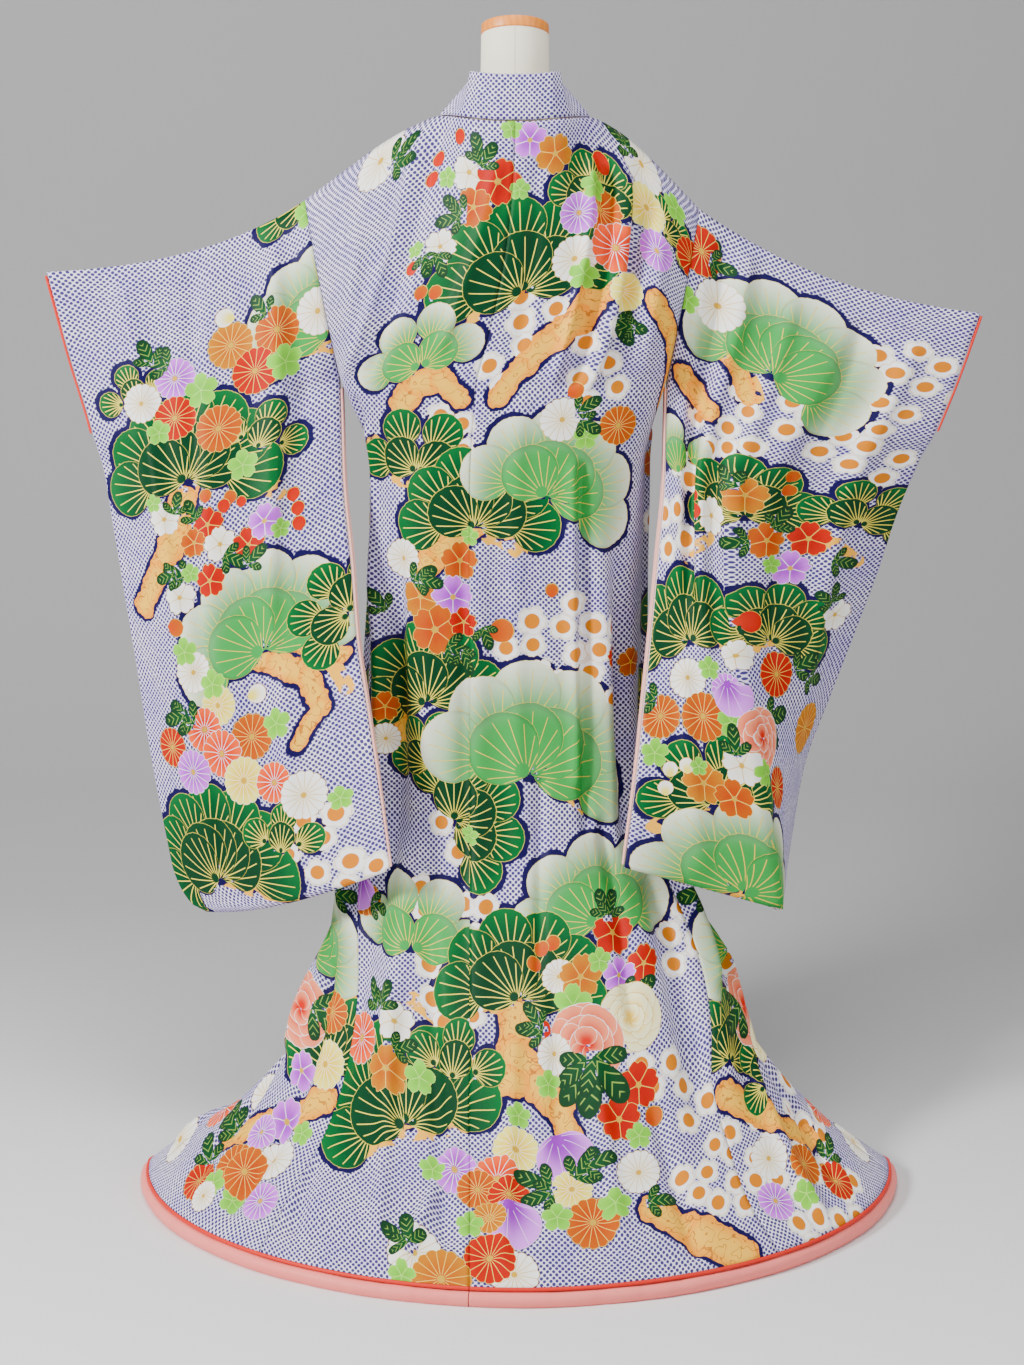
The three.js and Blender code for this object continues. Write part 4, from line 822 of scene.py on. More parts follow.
FOLD_COLUMNS = "top bottom start end width rise"
SKIRT_FOLDS = {
    "left": table(FOLD_COLUMNS, [
        (1060, 50, 9, 9, 15, -9), (860, 330, 112, 120, 15, -15), (900, 300, 148, 160, 18, 9),
        (470, 90, 78, 130, 24, 15), (450, 70, 122, 220, 24, -13), (460, 110, 205, 330, 28, 15),
        (860, 120, 262, 520, 26, -13), (940, 260, 330, 560, 22, 11),
    ]),
    "right": table(FOLD_COLUMNS, [
        (1060, 50, 10, 10, 17, 9), (330, 90, 112, 118, 11, -10), (900, 390, 178, 205, 15, 13),
        (880, 380, 206, 236, 15, -17), (430, 80, 255, 330, 18, -18), (420, 90, 300, 395, 22, 12),
        (300, 70, 400, 500, 22, -15), (900, 200, 352, 610, 26, 13), (820, 240, 400, 650, 22, -10),
    ]),
}
YOKE_FOLDS = {
    "left": table(FOLD_COLUMNS, [
        (0.04, 0.72, 0.50, 0.62, 0.05, -7), (0.10, 0.98, 0.72, 0.82, 0.05, 7),
    ]),
    "right": table(FOLD_COLUMNS, [
        (0.05, 0.99, 0.66, 0.62, 0.05, -15), (0.05, 0.99, 0.55, 0.52, 0.05, 9),
        (0.08, 0.99, 0.80, 0.78, 0.05, 9),
    ]),
}


def smooth(value, low, high):
    part = np.clip((value - low) / (high - low), 0, 1)
    return part * part * (3 - 2 * part)


def mix(start, end, part):
    return start + (end - start) * part


def read(rows, key, at, column):
    """Reads a column between its rows, on a curve that never overshoots."""
    x, y = rows[key], rows[column]
    if x[0] > x[-1]:
        x, y = x[::-1], y[::-1]
    slope = np.diff(y) / np.diff(x)
    before, after = slope[:-1], slope[1:]
    steady = before * after > 0
    inner = np.where(steady, 2 * before * after / np.where(steady, before + after, 1), 0)
    tangent = np.concatenate(([slope[0]], inner, [slope[-1]]))
    row = np.clip(np.searchsorted(x, at) - 1, 0, len(x) - 2)
    span = x[row + 1] - x[row]
    t = (at - x[row]) / span
    bend = t * (1 - t) * span * ((1 - t) * tangent[row] - t * tangent[row + 1])
    return mix(y[row], y[row + 1], t * t * (3 - 2 * t)) + bend


def ring_point(z, angle):
    at = {c: read(RINGS, "z", z, c)[:, None] for c in ("left", "right", "back", "mid", "front", "power")}
    centre, half = (at["left"] - at["right"]) / 2, (at["left"] + at["right"]) / 2
    deep = np.where(np.cos(angle) > 0, at["back"] - at["mid"], at["mid"] - at["front"])

    def bend(value):
        return np.sign(value) * np.abs(value) ** (2 / at["power"])

    return np.stack([centre + half * bend(np.sin(angle)), at["mid"] + deep * bend(np.cos(angle))], -1)


def ring_angle(z, x):
    left, right, power = (read(RINGS, "z", z, c) for c in ("left", "right", "power"))
    out = (x - (left - right) / 2) / ((left + right) / 2)
    return np.arcsin(np.sign(out) * np.abs(out) ** (power / 2))


def ring_runs(side, z):
    """Angles round each ring from the centre-back seam to the front edge, and the length run."""
    sign = 1 if side == "left" else -1
    seam = ring_angle(z, read(RINGS, "z", z, "seam"))
    edge = sign * np.pi - ring_angle(z, sign * read(RINGS, "z", z, "edge"))
    steps = np.linspace(0, 1, 73)
    angles = seam[:, None] + (edge - seam)[:, None] * steps
    places = ring_point(z, angles)
    lengths = np.linalg.norm(np.diff(places, axis=1), axis=2)
    runs = np.concatenate([np.zeros((len(z), 1)), np.cumsum(lengths, 1)], 1)
    spot = (sign * np.radians(read(RINGS, "z", z, "side")) - seam) / (edge - seam)
    side_share = np.array([np.interp(s, steps, r) / r[-1] for s, r in zip(spot, runs)])
    return angles, runs, side_share


def fold_rise(folds, across, down):
    rise = np.zeros(np.broadcast(across, down).shape)
    for top, bottom, start, end, width, height in zip(*(folds[c] for c in FOLD_COLUMNS.split())):
        part = np.clip((down - top) / (bottom - top), 0, 1)
        away = (across - mix(start, end, part)) / width
        on_yoke, on_skirt = np.sin(np.pi * part) ** 0.7, smooth(part, 0, 0.28) * (1 - smooth(part, 0.72, 1))
        fade = on_yoke if abs(top) < 1 else on_skirt
        rise = rise + height * fade * np.exp(-away * away)
    return rise


def skirt_point(side, share, z):
    """Folds stand out sideways on the hanging cloth, and upwards on the train."""
    angles, runs, _ = ring_runs(side, z)
    angle = np.array([np.interp(s * r[-1], r, a) for s, r, a in zip(share, runs, angles)])
    place = ring_point(z, angle)
    ahead = ring_point(z, angle + 0.01) - ring_point(z, angle - 0.01)
    ahead = ahead / np.linalg.norm(ahead, axis=2, keepdims=True)
    rise = fold_rise(SKIRT_FOLDS[side], share * runs[:, -1:], z[:, None])
    sideways = rise * smooth(z, 60, 260)[:, None]
    x, y = place[..., 0] - ahead[..., 1] * sideways, place[..., 1] + ahead[..., 0] * sideways
    return np.stack([x, y, z[:, None] + rise - sideways], -1)


def skirt_heights():
    z = np.linspace(ARMPIT, HEM_EDGE, 241)
    moved = sum(np.abs(np.diff(read(RINGS, "z", z, c))) for c in ("back", "left", "right")) / 3
    return z, np.concatenate([[0], np.cumsum(np.hypot(np.diff(z), moved))])


SKIRT_Z, SKIRT_RUNS = skirt_heights()
for line in TOP_LINE.values():
    steps = np.linalg.norm(np.diff([line["x"], line["y"], line["z"]]), axis=0)
    line["share"] = np.concatenate([[0], np.cumsum(steps)]) / steps.sum()


def top_point(side, share):
    return np.stack([read(TOP_LINE[side], "share", np.clip(share, 0, 1), c) for c in "xyz"], -1)


def round_over(down):
    return np.sin(np.clip(down, 0, 1) * np.pi / 2) ** 0.62


def armhole_half(down):
    part = np.clip(down, 0, 1)
    return RIDGE_HALF * (1 - part) + ARMHOLE_SWELL * np.sin(np.pi * part) ** 0.8 + SLIT_HALF * part


def yoke_point(side, face, across, down):
    """across runs from the centre back to the armhole, or from the armhole to the collar."""
    on_back = face == "back"
    side_share = ring_runs(side, np.array([ARMPIT]))[2][0]
    neck_share = TOP_LINE[side]["share"][NECK_ROW]
    top = top_point(side, across if on_back else mix(1, neck_share, across))
    ring_share = across * side_share if on_back else mix(side_share, 1, across)
    foot = skirt_point(side, ring_share[None, :], np.array([ARMPIT]))[0]
    near_arm = (across if on_back else 1 - across) ** 3
    down = down[:, None]
    part = mix(down * down, down, near_arm)
    swell = mix(RIDGE_HALF * (1 - down), armhole_half(down), near_arm)
    fold = fold_rise(YOKE_FOLDS[side], across[None, :], down) if on_back else 0
    x = mix(top[:, 0], foot[:, 0], part if on_back else down)
    y = mix(top[:, 1], foot[:, 1], round_over(down)) + (swell if on_back else -swell) + fold
    return np.stack([x, y, mix(top[:, 2], foot[:, 2], down)], -1)


def body_point(side, panel, across, down):
    """The outer face of a body panel: rows down it, columns across it."""
    rows = []
    yoke = down[down < YOKE_SHARE]
    if len(yoke) and panel != "overlap":
        rows.append(yoke_point(side, panel, across, yoke / YOKE_SHARE))
    skirt = down[down >= YOKE_SHARE]
    z = np.interp((skirt - YOKE_SHARE) / (1 - YOKE_SHARE), SKIRT_RUNS / SKIRT_RUNS[-1], SKIRT_Z)
    side_share = ring_runs(side, z)[2]
    overlap_seam = 1 - (1 - side_share) * read(RINGS, "z", z, "overlap")
    bounds = {"back": (0 * z, side_share), "front": (side_share, overlap_seam),
              "overlap": (overlap_seam, 0 * z + 1)}
    start, end = bounds[panel]
    place = skirt_point(side, start[:, None] + (end - start)[:, None] * across, z)
    gape = SLIT_HALF * smooth(z, SLIT_END, ARMPIT)[:, None]
    if panel == "back":
        place[..., 1] += gape * across ** 3
    if panel == "front":
        place[..., 1] -= gape * (1 - across) ** 3
    return np.concatenate(rows + [place])


BACK_FLAT, FRONT_FLAT, OVERLAP_FLAT = (0.30, 1.55), (0.24, 1.52), (0.15, 1.20)
FRONT_AREA, OVERLAP_AREA = 0.325, 0.113
YOKE_RUN, BODY_ROWS = 345.0, 239
SEAM_SHARE, OVERLAP_START, OVERLAP_DROP = 0.0007, 0.004, 55.0
COLUMNS = {"back": {"left": 50, "right": 62}, "front": {"left": 46, "right": 44},
           "overlap": {"left": 24, "right": 24}}

# Creases as lines on the flat cloth: u, v, u, v, then width and depth.
BACK_CREASES = {
    "left": [
        (22, 60, 60, 300, 9, 3.0), (120, 20, 150, 330, 11, -4.0), (150, 20, 185, 330, 10, 4.0),
        (175, 380, 168, 980, 8, -5.0), (158, 420, 150, 900, 9, 4.5), (60, 420, 64, 900, 14, 2.0),
        (110, 560, 100, 980, 13, -2.5), (60, 1120, 30, 1500, 12, -4.0), (110, 1180, 120, 1500, 12, 4.0),
        (190, 1220, 240, 1520, 12, -3.5), (270, 1260, 340, 1530, 13, 3.5), (20, 1380, 90, 1540, 10, 4.0),
    ],
    "right": [
        (-30, 60, -45, 300, 10, -2.5), (-112, 60, -104, 340, 8, 5.5), (-138, 70, -128, 345, 11, -7.5),
        (-168, 60, -156, 345, 8, 5.5), (-190, 90, -176, 340, 7, -4.0), (-62, 380, -70, 980, 13, 2.4),
        (-140, 470, -150, 900, 8, 5.0), (-154, 470, -166, 960, 8, -6.0), (-100, 900, -96, 1170, 8, -4.5),
        (-190, 960, -230, 1220, 10, -5.0), (-300, 1100, -360, 1380, 11, -5.0),
        (-60, 1240, -40, 1530, 11, 4.0), (-170, 1260, -190, 1500, 12, 3.5),
        (-420, 1280, -490, 1520, 14, 4.0), (-250, 1330, -290, 1540, 12, -4.0),
    ],
}
FRONT_CREASES = {
    "left": [(60, 60, 40, 330, 10, 4), (110, 80, 100, 340, 9, -4), (40, 420, 36, 1100, 14, 7),
             (80, 420, 84, 1150, 14, -7), (120, 520, 130, 1300, 14, 7), (160, 900, 180, 1500, 14, -6),
             (60, 1180, 80, 1520, 14, -6)],
    "right": [(50, 60, 44, 330, 10, -4), (96, 60, 110, 340, 9, 4), (30, 430, 30, 1180, 13, 7),
              (66, 420, 60, 1120, 14, -7), (110, 500, 112, 1260, 14, 7), (150, 860, 170, 1500, 13, -6),
              (90, 1210, 100, 1530, 14, 5)],
}
OVERLAP_CREASES = {
    "left": [(30, 640, 34, 1300, 13, 6), (70, 800, 74, 1400, 13, -6), (110, 1000, 120, 1500, 12, 5)],
    "right": [(34, 660, 30, 1280, 13, -6), (66, 760, 70, 1440, 13, 6), (104, 980, 120, 1500, 12, -5)],
}

RUN_OF_SKIRT = SKIRT_RUNS[-1]


def body_cloth(side, part, across, down):
    """Where each point of a body panel lies on the flat cloth, u from the centre back or side seam."""
    v = np.where(down < YOKE_SHARE, down / YOKE_SHARE * YOKE_RUN,
                 YOKE_RUN + (down - YOKE_SHARE) / (1 - YOKE_SHARE) * RUN_OF_SKIRT)
    steps = np.linspace(0, 1, 61)
    places = body_point(side, part, steps, down)
    runs = np.concatenate([np.zeros((len(down), 1)),
                           np.cumsum(np.linalg.norm(np.diff(places, axis=1), axis=2), 1)], 1)
    u = np.array([np.interp(across, steps, run) for run in runs])
    return np.dstack([u, np.broadcast_to(v[:, None], u.shape)])


def even_rows(start):
    """Shares down a body panel that are evenly spaced on the cloth."""
    v = np.linspace(start, YOKE_RUN + RUN_OF_SKIRT, BODY_ROWS + 1)
    return np.where(v < YOKE_RUN, v / YOKE_RUN * YOKE_SHARE,
                    YOKE_SHARE + (v - YOKE_RUN) / RUN_OF_SKIRT * (1 - YOKE_SHARE))


FRONT_MOTIFS = {
    "strips": [(11, 20, 330, 90, 360, 130, 420), (11, 40, 900, 120, 930, 190, 1010)],
    "plums": [(60, 480, 140, 520, 12), (30, 560, 120, 590, 12), (60, 1010, 160, 1060, 14)],
    "barks": [[(10, 300, 17), (60, 330, 19), (100, 390, 17)],
              [(30, 860, 18), (70, 900, 20), (130, 960, 17)],
              [(20, 1340, 20), (90, 1390, 20), (170, 1440, 16)]],
    "pines": [("light", 70, 250, 105, -10, 175, 6), ("dark", 120, 700, 110, 8, 175, 6),
              ("dark", 40, 830, 80, -12, 160, 4), ("light", 110, 1180, 120, 0, 178, 7),
              ("dark", 30, 1300, 95, 14, 165, 5)],
    "flowers": [
        ("leaf_dark", 60, 60, 20, -50), ("leaf_green", 84, 84, 20), ("mum_white", 60, 92, 30),
        ("mum_orange", 100, 110, 30), ("mum_red", 40, 150, 29), ("mum_lilac", 90, 160, 27),
        ("five_white", 50, 420, 26), ("five_red", 96, 440, 26), ("five_orange", 30, 470, 24),
        ("leaf_dark", 80, 470, 18, 110), ("bud_red", 120, 480, 11, 30),
        ("bud_orange", 20, 430, 11, -40), ("five_lilac", 70, 760, 28), ("five_amber", 110, 790, 28),
        ("five_red", 60, 810, 28), ("mum_amber", 120, 850, 30), ("mum_coral", 40, 1010, 32),
        ("mum_cream", 90, 1000, 30), ("mum_orange", 60, 1060, 30), ("leaf_green", 130, 1040, 20),
        ("leaf_dark", 20, 1080, 20, -80), ("peony_coral", 110, 1250, 54),
        ("peony_cream", 170, 1290, 46), ("leaf_dark", 60, 1250, 30, -110),
        ("leaf_green", 190, 1220, 22), ("mum_white", 60, 1440, 32), ("mum_orange", 120, 1470, 32),
        ("mum_lilac", 40, 1500, 28), ("leaf_green", 90, 1510, 20), ("mum_red", 170, 1510, 30),
        ("leaf_dark", 200, 1470, 22, 60), ("mum_coral", 250, 1430, 30), ("mum_white", 290, 1500, 30),
    ],
}
for side, turn in (("left", 1), ("right", -1)):
    for part in ("back", "front", "overlap"):
        first = OVERLAP_START if part == "overlap" else SEAM_SHARE
        across = np.linspace(first, 1 - (SEAM_SHARE if part != "overlap" else 0), COLUMNS[part][side] + 1)
        down = even_rows(YOKE_RUN + OVERLAP_DROP if part == "overlap" else 0.0)
        places = body_point(side, part, across, down)
        cloth = creased_cloth = body_cloth(side, part, across, down)
        if part == "back":
            cloth[..., 0] *= turn
            forms = dressed(MOTIFS["back"])
            creases, flat, area = BACK_CREASES[side], BACK_FLAT, None
        else:
            own = MOTIFS["front_" + side]
            forms = dressed({key: shared + own.get(key, []) for key, shared in FRONT_MOTIFS.items()})
            creases, flat, area = FRONT_CREASES[side], FRONT_FLAT, FRONT_AREA
        if part == "overlap":
            seam = body_cloth(side, "front", np.array([1.0]), down)[..., 0]
            cloth[..., 0] += seam
            creased_cloth = cloth - (seam[0, 0], 0)
            creases, flat, area = OVERLAP_CREASES[side], OVERLAP_FLAT, OVERLAP_AREA
        places = creased(places, creased_cloth, creases, turn)
        panel(f"{part}_{side}", places, cloth, forms, flat, turn, area)

# ------------------------------------------------------------------ the sleeves' shape
# Each long sleeve is one length of silk folded over at the top, sewn along its foot and the lower
# part of its outer edge, and open at the cuff and all down its inner edge below the armhole.

ARMHOLE_SHARE, CUFF_SHARE, CREASE_SHARE = 0.263, 0.25, 0.42
SLEEVE_LENGTH, SLEEVE_WIDTH, SLEEVE_SWELL, CORNER_RADIUS = 910.0, 350.0, 15.0, 62.0
SLEEVE_COLUMNS = "share sharp ix iy iz mx my mz ox oy oz"   # inner edge, middle line, outer edge
SLEEVE_ROWS = {
    "left": table(SLEEVE_COLUMNS, [
        (0.000, 0, 287, 0, 1312, 411, 0, 1252, 643, 0, 1215),
        (0.130, 0, 264, 9, 1193, 402, 22, 1142, 611, 8, 1100),
        (0.263, 0, 241, 20, 1075, 394, 40, 1026, 576, 22, 985),
        (0.420, 0, 236, 44, 933, 385, 62, 890, 553, 42, 855),
        (0.535, 0, 225, 72, 826, 375, 78, 785, 538, 52, 757),
        (0.655, 0, 216, 102, 719, 364, 92, 677, 522, 60, 650),
        (0.745, 0, 203, 130, 639, 354, 104, 594, 511, 66, 570),
        (0.847, 0, 188, 164, 548, 342, 118, 498, 496, 72, 478),
        (1.000, 0, 169, 212, 424, 322, 140, 354, 470, 82, 336),
    ]),
    "right": table(SLEEVE_COLUMNS, [
        (0.000, 0.0, -252, 0, 1300, -398, 0, 1219, -641, 0, 1159),
        (0.130, 0.2, -231, 9, 1188, -372, 24, 1118, -610, 0, 1072),
        (0.263, 0.5, -209, 20, 1075, -330, 44, 1016, -577, 0, 990),
        (0.420, 0.9, -206, 44, 938, -292, 72, 905, -534, -2, 882),
        (0.535, 1.0, -196, 70, 826, -290, 92, 806, -508, -2, 796),
        (0.655, 1.0, -185, 100, 716, -300, 112, 712, -477, -2, 708),
        (0.745, 1.0, -176, 128, 640, -312, 128, 634, -446, -2, 622),
        (0.847, 1.0, -165, 162, 545, -331, 146, 526, -410, 2, 518),
        (1.000, 1.0, -147, 214, 428, -366, 166, 354, -384, 22, 352),
    ]),
}
SLEEVE_FOLDS = {
    "left": table(FOLD_COLUMNS, [
        (0.03, 0.60, 0.20, 0.34, 0.06, 8), (0.02, 0.42, 0.10, 0.16, 0.05, -8),
        (0.05, 0.75, 0.52, 0.60, 0.08, 6), (0.40, 0.98, 0.36, 0.42, 0.08, -6),
    ]),
    "right": table(FOLD_COLUMNS, [
        (0.02, 0.60, 0.12, 0.20, 0.05, -9), (0.05, 0.85, 0.24, 0.28, 0.05, 7),
        (0.03, 0.45, 0.58, 0.52, 0.07, 8), (0.10, 0.60, 0.74, 0.66, 0.07, -8),
    ]),
}


def sleeve_middle(side, across, down):
    """The surface half way between a sleeve's back and front."""
    at = {c: read(SLEEVE_ROWS[side], "share", down, c)[:, None] for c in SLEEVE_COLUMNS.split()}
    start = 1 - CORNER_RADIUS / SLEEVE_LENGTH
    corner = np.clip((down - start) / (1 - start), 0, 1)
    pulled_in = CORNER_RADIUS / SLEEVE_WIDTH * (1 - np.sqrt(1 - corner ** 2))
    across = across[None, :] * (1 - pulled_in[:, None])
    top = top_point(side, np.array([1.0]))[0]
    foot_share = ring_runs(side, np.array([ARMPIT]))[2]
    foot = skirt_point(side, foot_share[None, :], np.array([ARMPIT]))[0, 0]
    part = np.clip(down / ARMHOLE_SHARE, 0, 1)[:, None]
    armhole = np.stack([mix(top[0], foot[0], part), mix(top[1], foot[1], round_over(part)),
                        mix(top[2], foot[2], part)], -1)
    inner = np.where((part < 1)[..., None], armhole, np.stack([at["ix"], at["iy"], at["iz"]], -1))
    middle = np.stack([at["mx"], at["my"], at["mz"]], -1)
    outer = np.stack([at["ox"], at["oy"], at["oz"]], -1)
    m, a = CREASE_SHARE, across[..., None]
    curved = inner * (a - m) * (a - 1) / m + outer * a * (a - m) / (1 - m)
    curved = curved + middle * a * (a - 1) / (m * (m - 1))
    creased = np.where(a < m, mix(inner, middle, a / m), mix(middle, outer, (a - m) / (1 - m)))
    return mix(curved, creased, at["sharp"][..., None])


def sleeve_half(across, down):
    """How far a sleeve's side stands off its middle: open at the cuff, the armhole and the inner
    edge, and pressed together along the top, the foot and the sewn outer edge."""
    fall = np.sin(np.pi * np.clip(down, 0, 1)) ** 0.6
    cuff_open = 1 - smooth(down, CUFF_SHARE, CUFF_SHARE + 0.06)
    outer_edge = mix(1 - smooth(across, 0.75, 1), 1, cuff_open)
    inside = PRESSED + SLEEVE_SWELL * fall * outer_edge * (0.85 + 0.15 * np.sin(np.pi * across))
    sewn = (1 - smooth(across, 0, 0.3)) * (1 - smooth(down, ARMHOLE_SHARE, ARMHOLE_SHARE + 0.05))
    return mix(inside, np.maximum(armhole_half(down / ARMHOLE_SHARE), PRESSED), sewn)


def unit(vectors):
    return vectors / np.linalg.norm(vectors, axis=-1, keepdims=True)


def sleeve_point(side, face, across, down):
    step = 0.004
    turn = 1 if side == "left" else -1
    along = sleeve_middle(side, across + step, down) - sleeve_middle(side, across - step, down)
    fall = (sleeve_middle(side, across, np.minimum(down + step, 1))
            - sleeve_middle(side, across, np.maximum(down - step, 0)))
    normal = unit(np.cross(along, fall)) * turn
    lean = smooth(across, 0, 0.25)[None, :, None]
    off = unit(mix(np.array([0.0, 1.0, 0.0]), normal, lean))
    half = sleeve_half(across[None, :], down[:, None]) * (1 if face == "back" else -1)
    rise = half + fold_rise(SLEEVE_FOLDS[side], across[None, :], down[:, None])
    return sleeve_middle(side, across, down) + off * rise[..., None]


SLEEVE_FLAT, SLEEVE_SEAM_SHARE = (0.35, 0.91), 0.0016
SLEEVE_GRID = (58, 140)
SLEEVE_CREASES = {
    "left": [(60, 40, 110, 560, 12, 4.0), (180, 30, 220, 600, 13, -3.5), (270, 40, 250, 500, 13, 3.5),
             (100, 620, 120, 880, 13, 3.0), (220, 640, 230, 890, 14, -3.0)],
    "right": [(40, 30, 70, 520, 10, -5.0), (75, 30, 100, 600, 10, 4.5), (140, 60, 150, 420, 11, 4.0),
              (230, 60, 200, 620, 12, -4.0), (290, 80, 270, 640, 12, 4.0), (60, 640, 70, 890, 12, 3.0)],
}
for side, turn in (("left", 1), ("right", -1)):
    for face in ("back", "front"):
        across = np.linspace(SLEEVE_SEAM_SHARE, 1, SLEEVE_GRID[0] + 1)
        down = np.linspace(0, 1, SLEEVE_GRID[1] + 1)
        places = sleeve_point(side, face, across, down)
        printed = side if face == "back" else {"left": "right", "right": "left"}[side]
        u, v = np.meshgrid(across * SLEEVE_WIDTH, down * SLEEVE_LENGTH)
        cloth = np.dstack([u, v])
        facing = turn if face == "back" else -turn
        places = creased(places, cloth, SLEEVE_CREASES[side], turn)
        forms = dressed(MOTIFS["sleeve_" + printed])
        panel(f"sleeve_{side}_{face}", places, cloth, forms, SLEEVE_FLAT, facing)

# ------------------------------------------------------------------ the collar
# One straight band of the knotted silk, folded double and sewn round the neck and down both front
# edges. It stands up at the nape and lies against the chest lower down.

COLLAR_WIDTH, COLLAR_WALL, COLLAR_GAP, COLLAR_END, COLLAR_RAISE = 62.0, 3.0, 1.8, 640.0, 1.0
COLLAR_FLAT, COLLAR_GRID = (0.064, 1.90), (12, 260)
COLLAR_LEAN = table("run inward forward up", [
    (0, 0, 0.28, 0.96), (60, 0.06, 0.25, 0.96), (125, 0.64, 0.15, 0.75), (180, 0.68, 0.32, 0.6),
    (240, 0.92, 0.16, 0.32), (340, 0.98, 0.12, 0.12), (480, 0.99, 0.10, 0.02), (1000, 0.98, 0.16, 0),
])


def run_along(line):
    """The length run along a line of points, from its first one."""
    return np.concatenate([[0], np.cumsum(np.linalg.norm(np.diff(line, axis=0), axis=1))])


def collar_seam(side):
    """The line that one half of the collar is sewn on, from the nape, and the way that it leans."""
    neck_share = TOP_LINE[side]["share"][NECK_ROW]
    nape = top_point(side, np.linspace(0, neck_share, 6))
    chest = yoke_point(side, "front", np.array([1.0]), np.linspace(0, 1, 8)[1:])[:, 0]
    front = skirt_point(side, np.ones((7, 1)), np.linspace(ARMPIT, COLLAR_END, 8)[1:])[:, 0]
    line = np.concatenate([nape, chest, front])
    run = run_along(line)
    inward, forward, up = (read(COLLAR_LEAN, "run", run, c) for c in ("inward", "forward", "up"))
    return line, unit(np.stack([inward * (-1 if side == "left" else 1), -forward, up], 1))


left_line, left_lean = collar_seam("left")
right_line, right_lean = collar_seam("right")
line = np.concatenate([left_line[::-1], right_line[1:]])
lean = np.concatenate([left_lean[::-1], right_lean[1:]])
spot = np.linspace(0, len(line) - 1, COLLAR_GRID[1] + 1)
line, lean = (np.stack([np.interp(spot, np.arange(len(a)), a[:, k]) for k in range(3)], 1)
              for a in (line, lean))
out = COLLAR_GAP + np.linspace(0, 1, COLLAR_GRID[0] + 1) * COLLAR_WIDTH
places = line[:, None] + unit(lean)[:, None] * out[:, None]
normal = unit(np.cross(np.gradient(places, axis=1), np.gradient(places, axis=0)))
cloth = np.dstack(np.meshgrid(out, run_along(line)))
outer = places - normal * (COLLAR_WALL - COLLAR_RAISE)
panel("collar", outer, cloth, None, COLLAR_FLAT, -1, None, KNOTTED, COLLAR_WALL)

# ------------------------------------------------------------------ the sleeves' coloured edges
# The lining is rolled out past the silk in a narrow edge: coral at the cuff, pale pink down the
# open inner edge. Each is a thin soft roll sewn along one wall of the sleeve.

EDGING_RADIUS, EDGING_OFF, EDGING_START, EDGING_END, EDGING_SIDES = 1.7, 1.2, 0.006, 0.995, 10


def closed(name, places, material):
    """A tube through rings of points, closed at its ends, in place of the node of the same name."""
    made = hang("soft_" + name, places.shape[1] - 1, places.shape[0] - 1, places.reshape(-1, 3) / 1000)
    bpy.ops.object.mode_set(mode="EDIT")
    bpy.ops.mesh.select_all(action="SELECT")
    bpy.ops.mesh.remove_doubles(threshold=0.00001)
    bpy.ops.mesh.fill_holes(sides=0)
    bpy.ops.mesh.select_all(action="SELECT")
    bpy.ops.mesh.normals_make_consistent(inside=False)
    bpy.ops.object.mode_set(mode="OBJECT")
    bpy.ops.object.shade_smooth_by_angle(angle=radians(50))
    made.data.materials.append(material)
    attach(made, "root")
    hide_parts(name)
    return made


def tube_rings(path, out, up, deep, high, sides):
    angle = np.linspace(0, 2 * pi, sides + 1)
    rings = (path[:, None] + (out[:, None] * (np.cos(angle) * deep)[..., None]
                              + up[:, None] * (np.sin(angle) * high)[..., None]))
    rings[:, -1] = rings[:, 0]
    return rings


def soft_silk(name, colour, other, roughness=0.5):
    """Plain dyed silk, a little uneven in colour and surface."""
    made = plain_material(name, colour, roughness)
    tree = made.node_tree
    place = tree.nodes.new("ShaderNodeTexCoord").outputs["Object"]
    shade = mixed(tree, noise(tree, place, 22, 2), colour, other)
    return surfaced(made, shade, gloss=0.2, height=noise(tree, place, 160, 2), strength=0.3, distance=0.001)


CORAL_SILK = soft_silk("coral_silk", (0.68, 0.018, 0.011), (0.72, 0.035, 0.018))
PINK_SILK = soft_silk("pink_silk", (0.96, 0.27, 0.23), (0.94, 0.20, 0.18))
PALE_SILK = soft_silk("pale_pink_silk", (0.94, 0.52, 0.44), (0.92, 0.42, 0.35))
for side in ("left", "right"):
    for face, sign in (("back", 1), ("front", -1)):
        for edge, across, reach, start, end, steps, paint, slot in (
                ("cuff_edge", 1.0, 0.004, EDGING_START, CUFF_SHARE, 48, CORAL_SILK, "red_silk"),
                ("inner_edge", SLEEVE_SEAM_SHARE, -0.004, ARMHOLE_SHARE + 0.02, EDGING_END, 110, PALE_SILK,
                 "pink_silk")):
            down = np.linspace(start, end, steps)
            at = sleeve_point(side, face, np.array([across]), down)[:, 0]
            out = unit(sleeve_point(side, face, np.array([across + reach]), down)[:, 0] - at)
            path = at + out * (EDGING_RADIUS + EDGING_OFF) + (0, -sign * WALL / 2, 0)
            up = np.broadcast_to([0.0, 1.0, 0.0], path.shape)
            rings = tube_rings(path, out, up, EDGING_RADIUS, EDGING_RADIUS, EDGING_SIDES)
            closed(f"{edge}_{side}_{face}", rings, paint)

# ------------------------------------------------------------------ the padded hem
# The lining's foot is filled with cotton wadding and rolled out under the silk as a thick soft
# hem. It is stitched every few centimetres, which dimples it, and a red piping covers its seam.

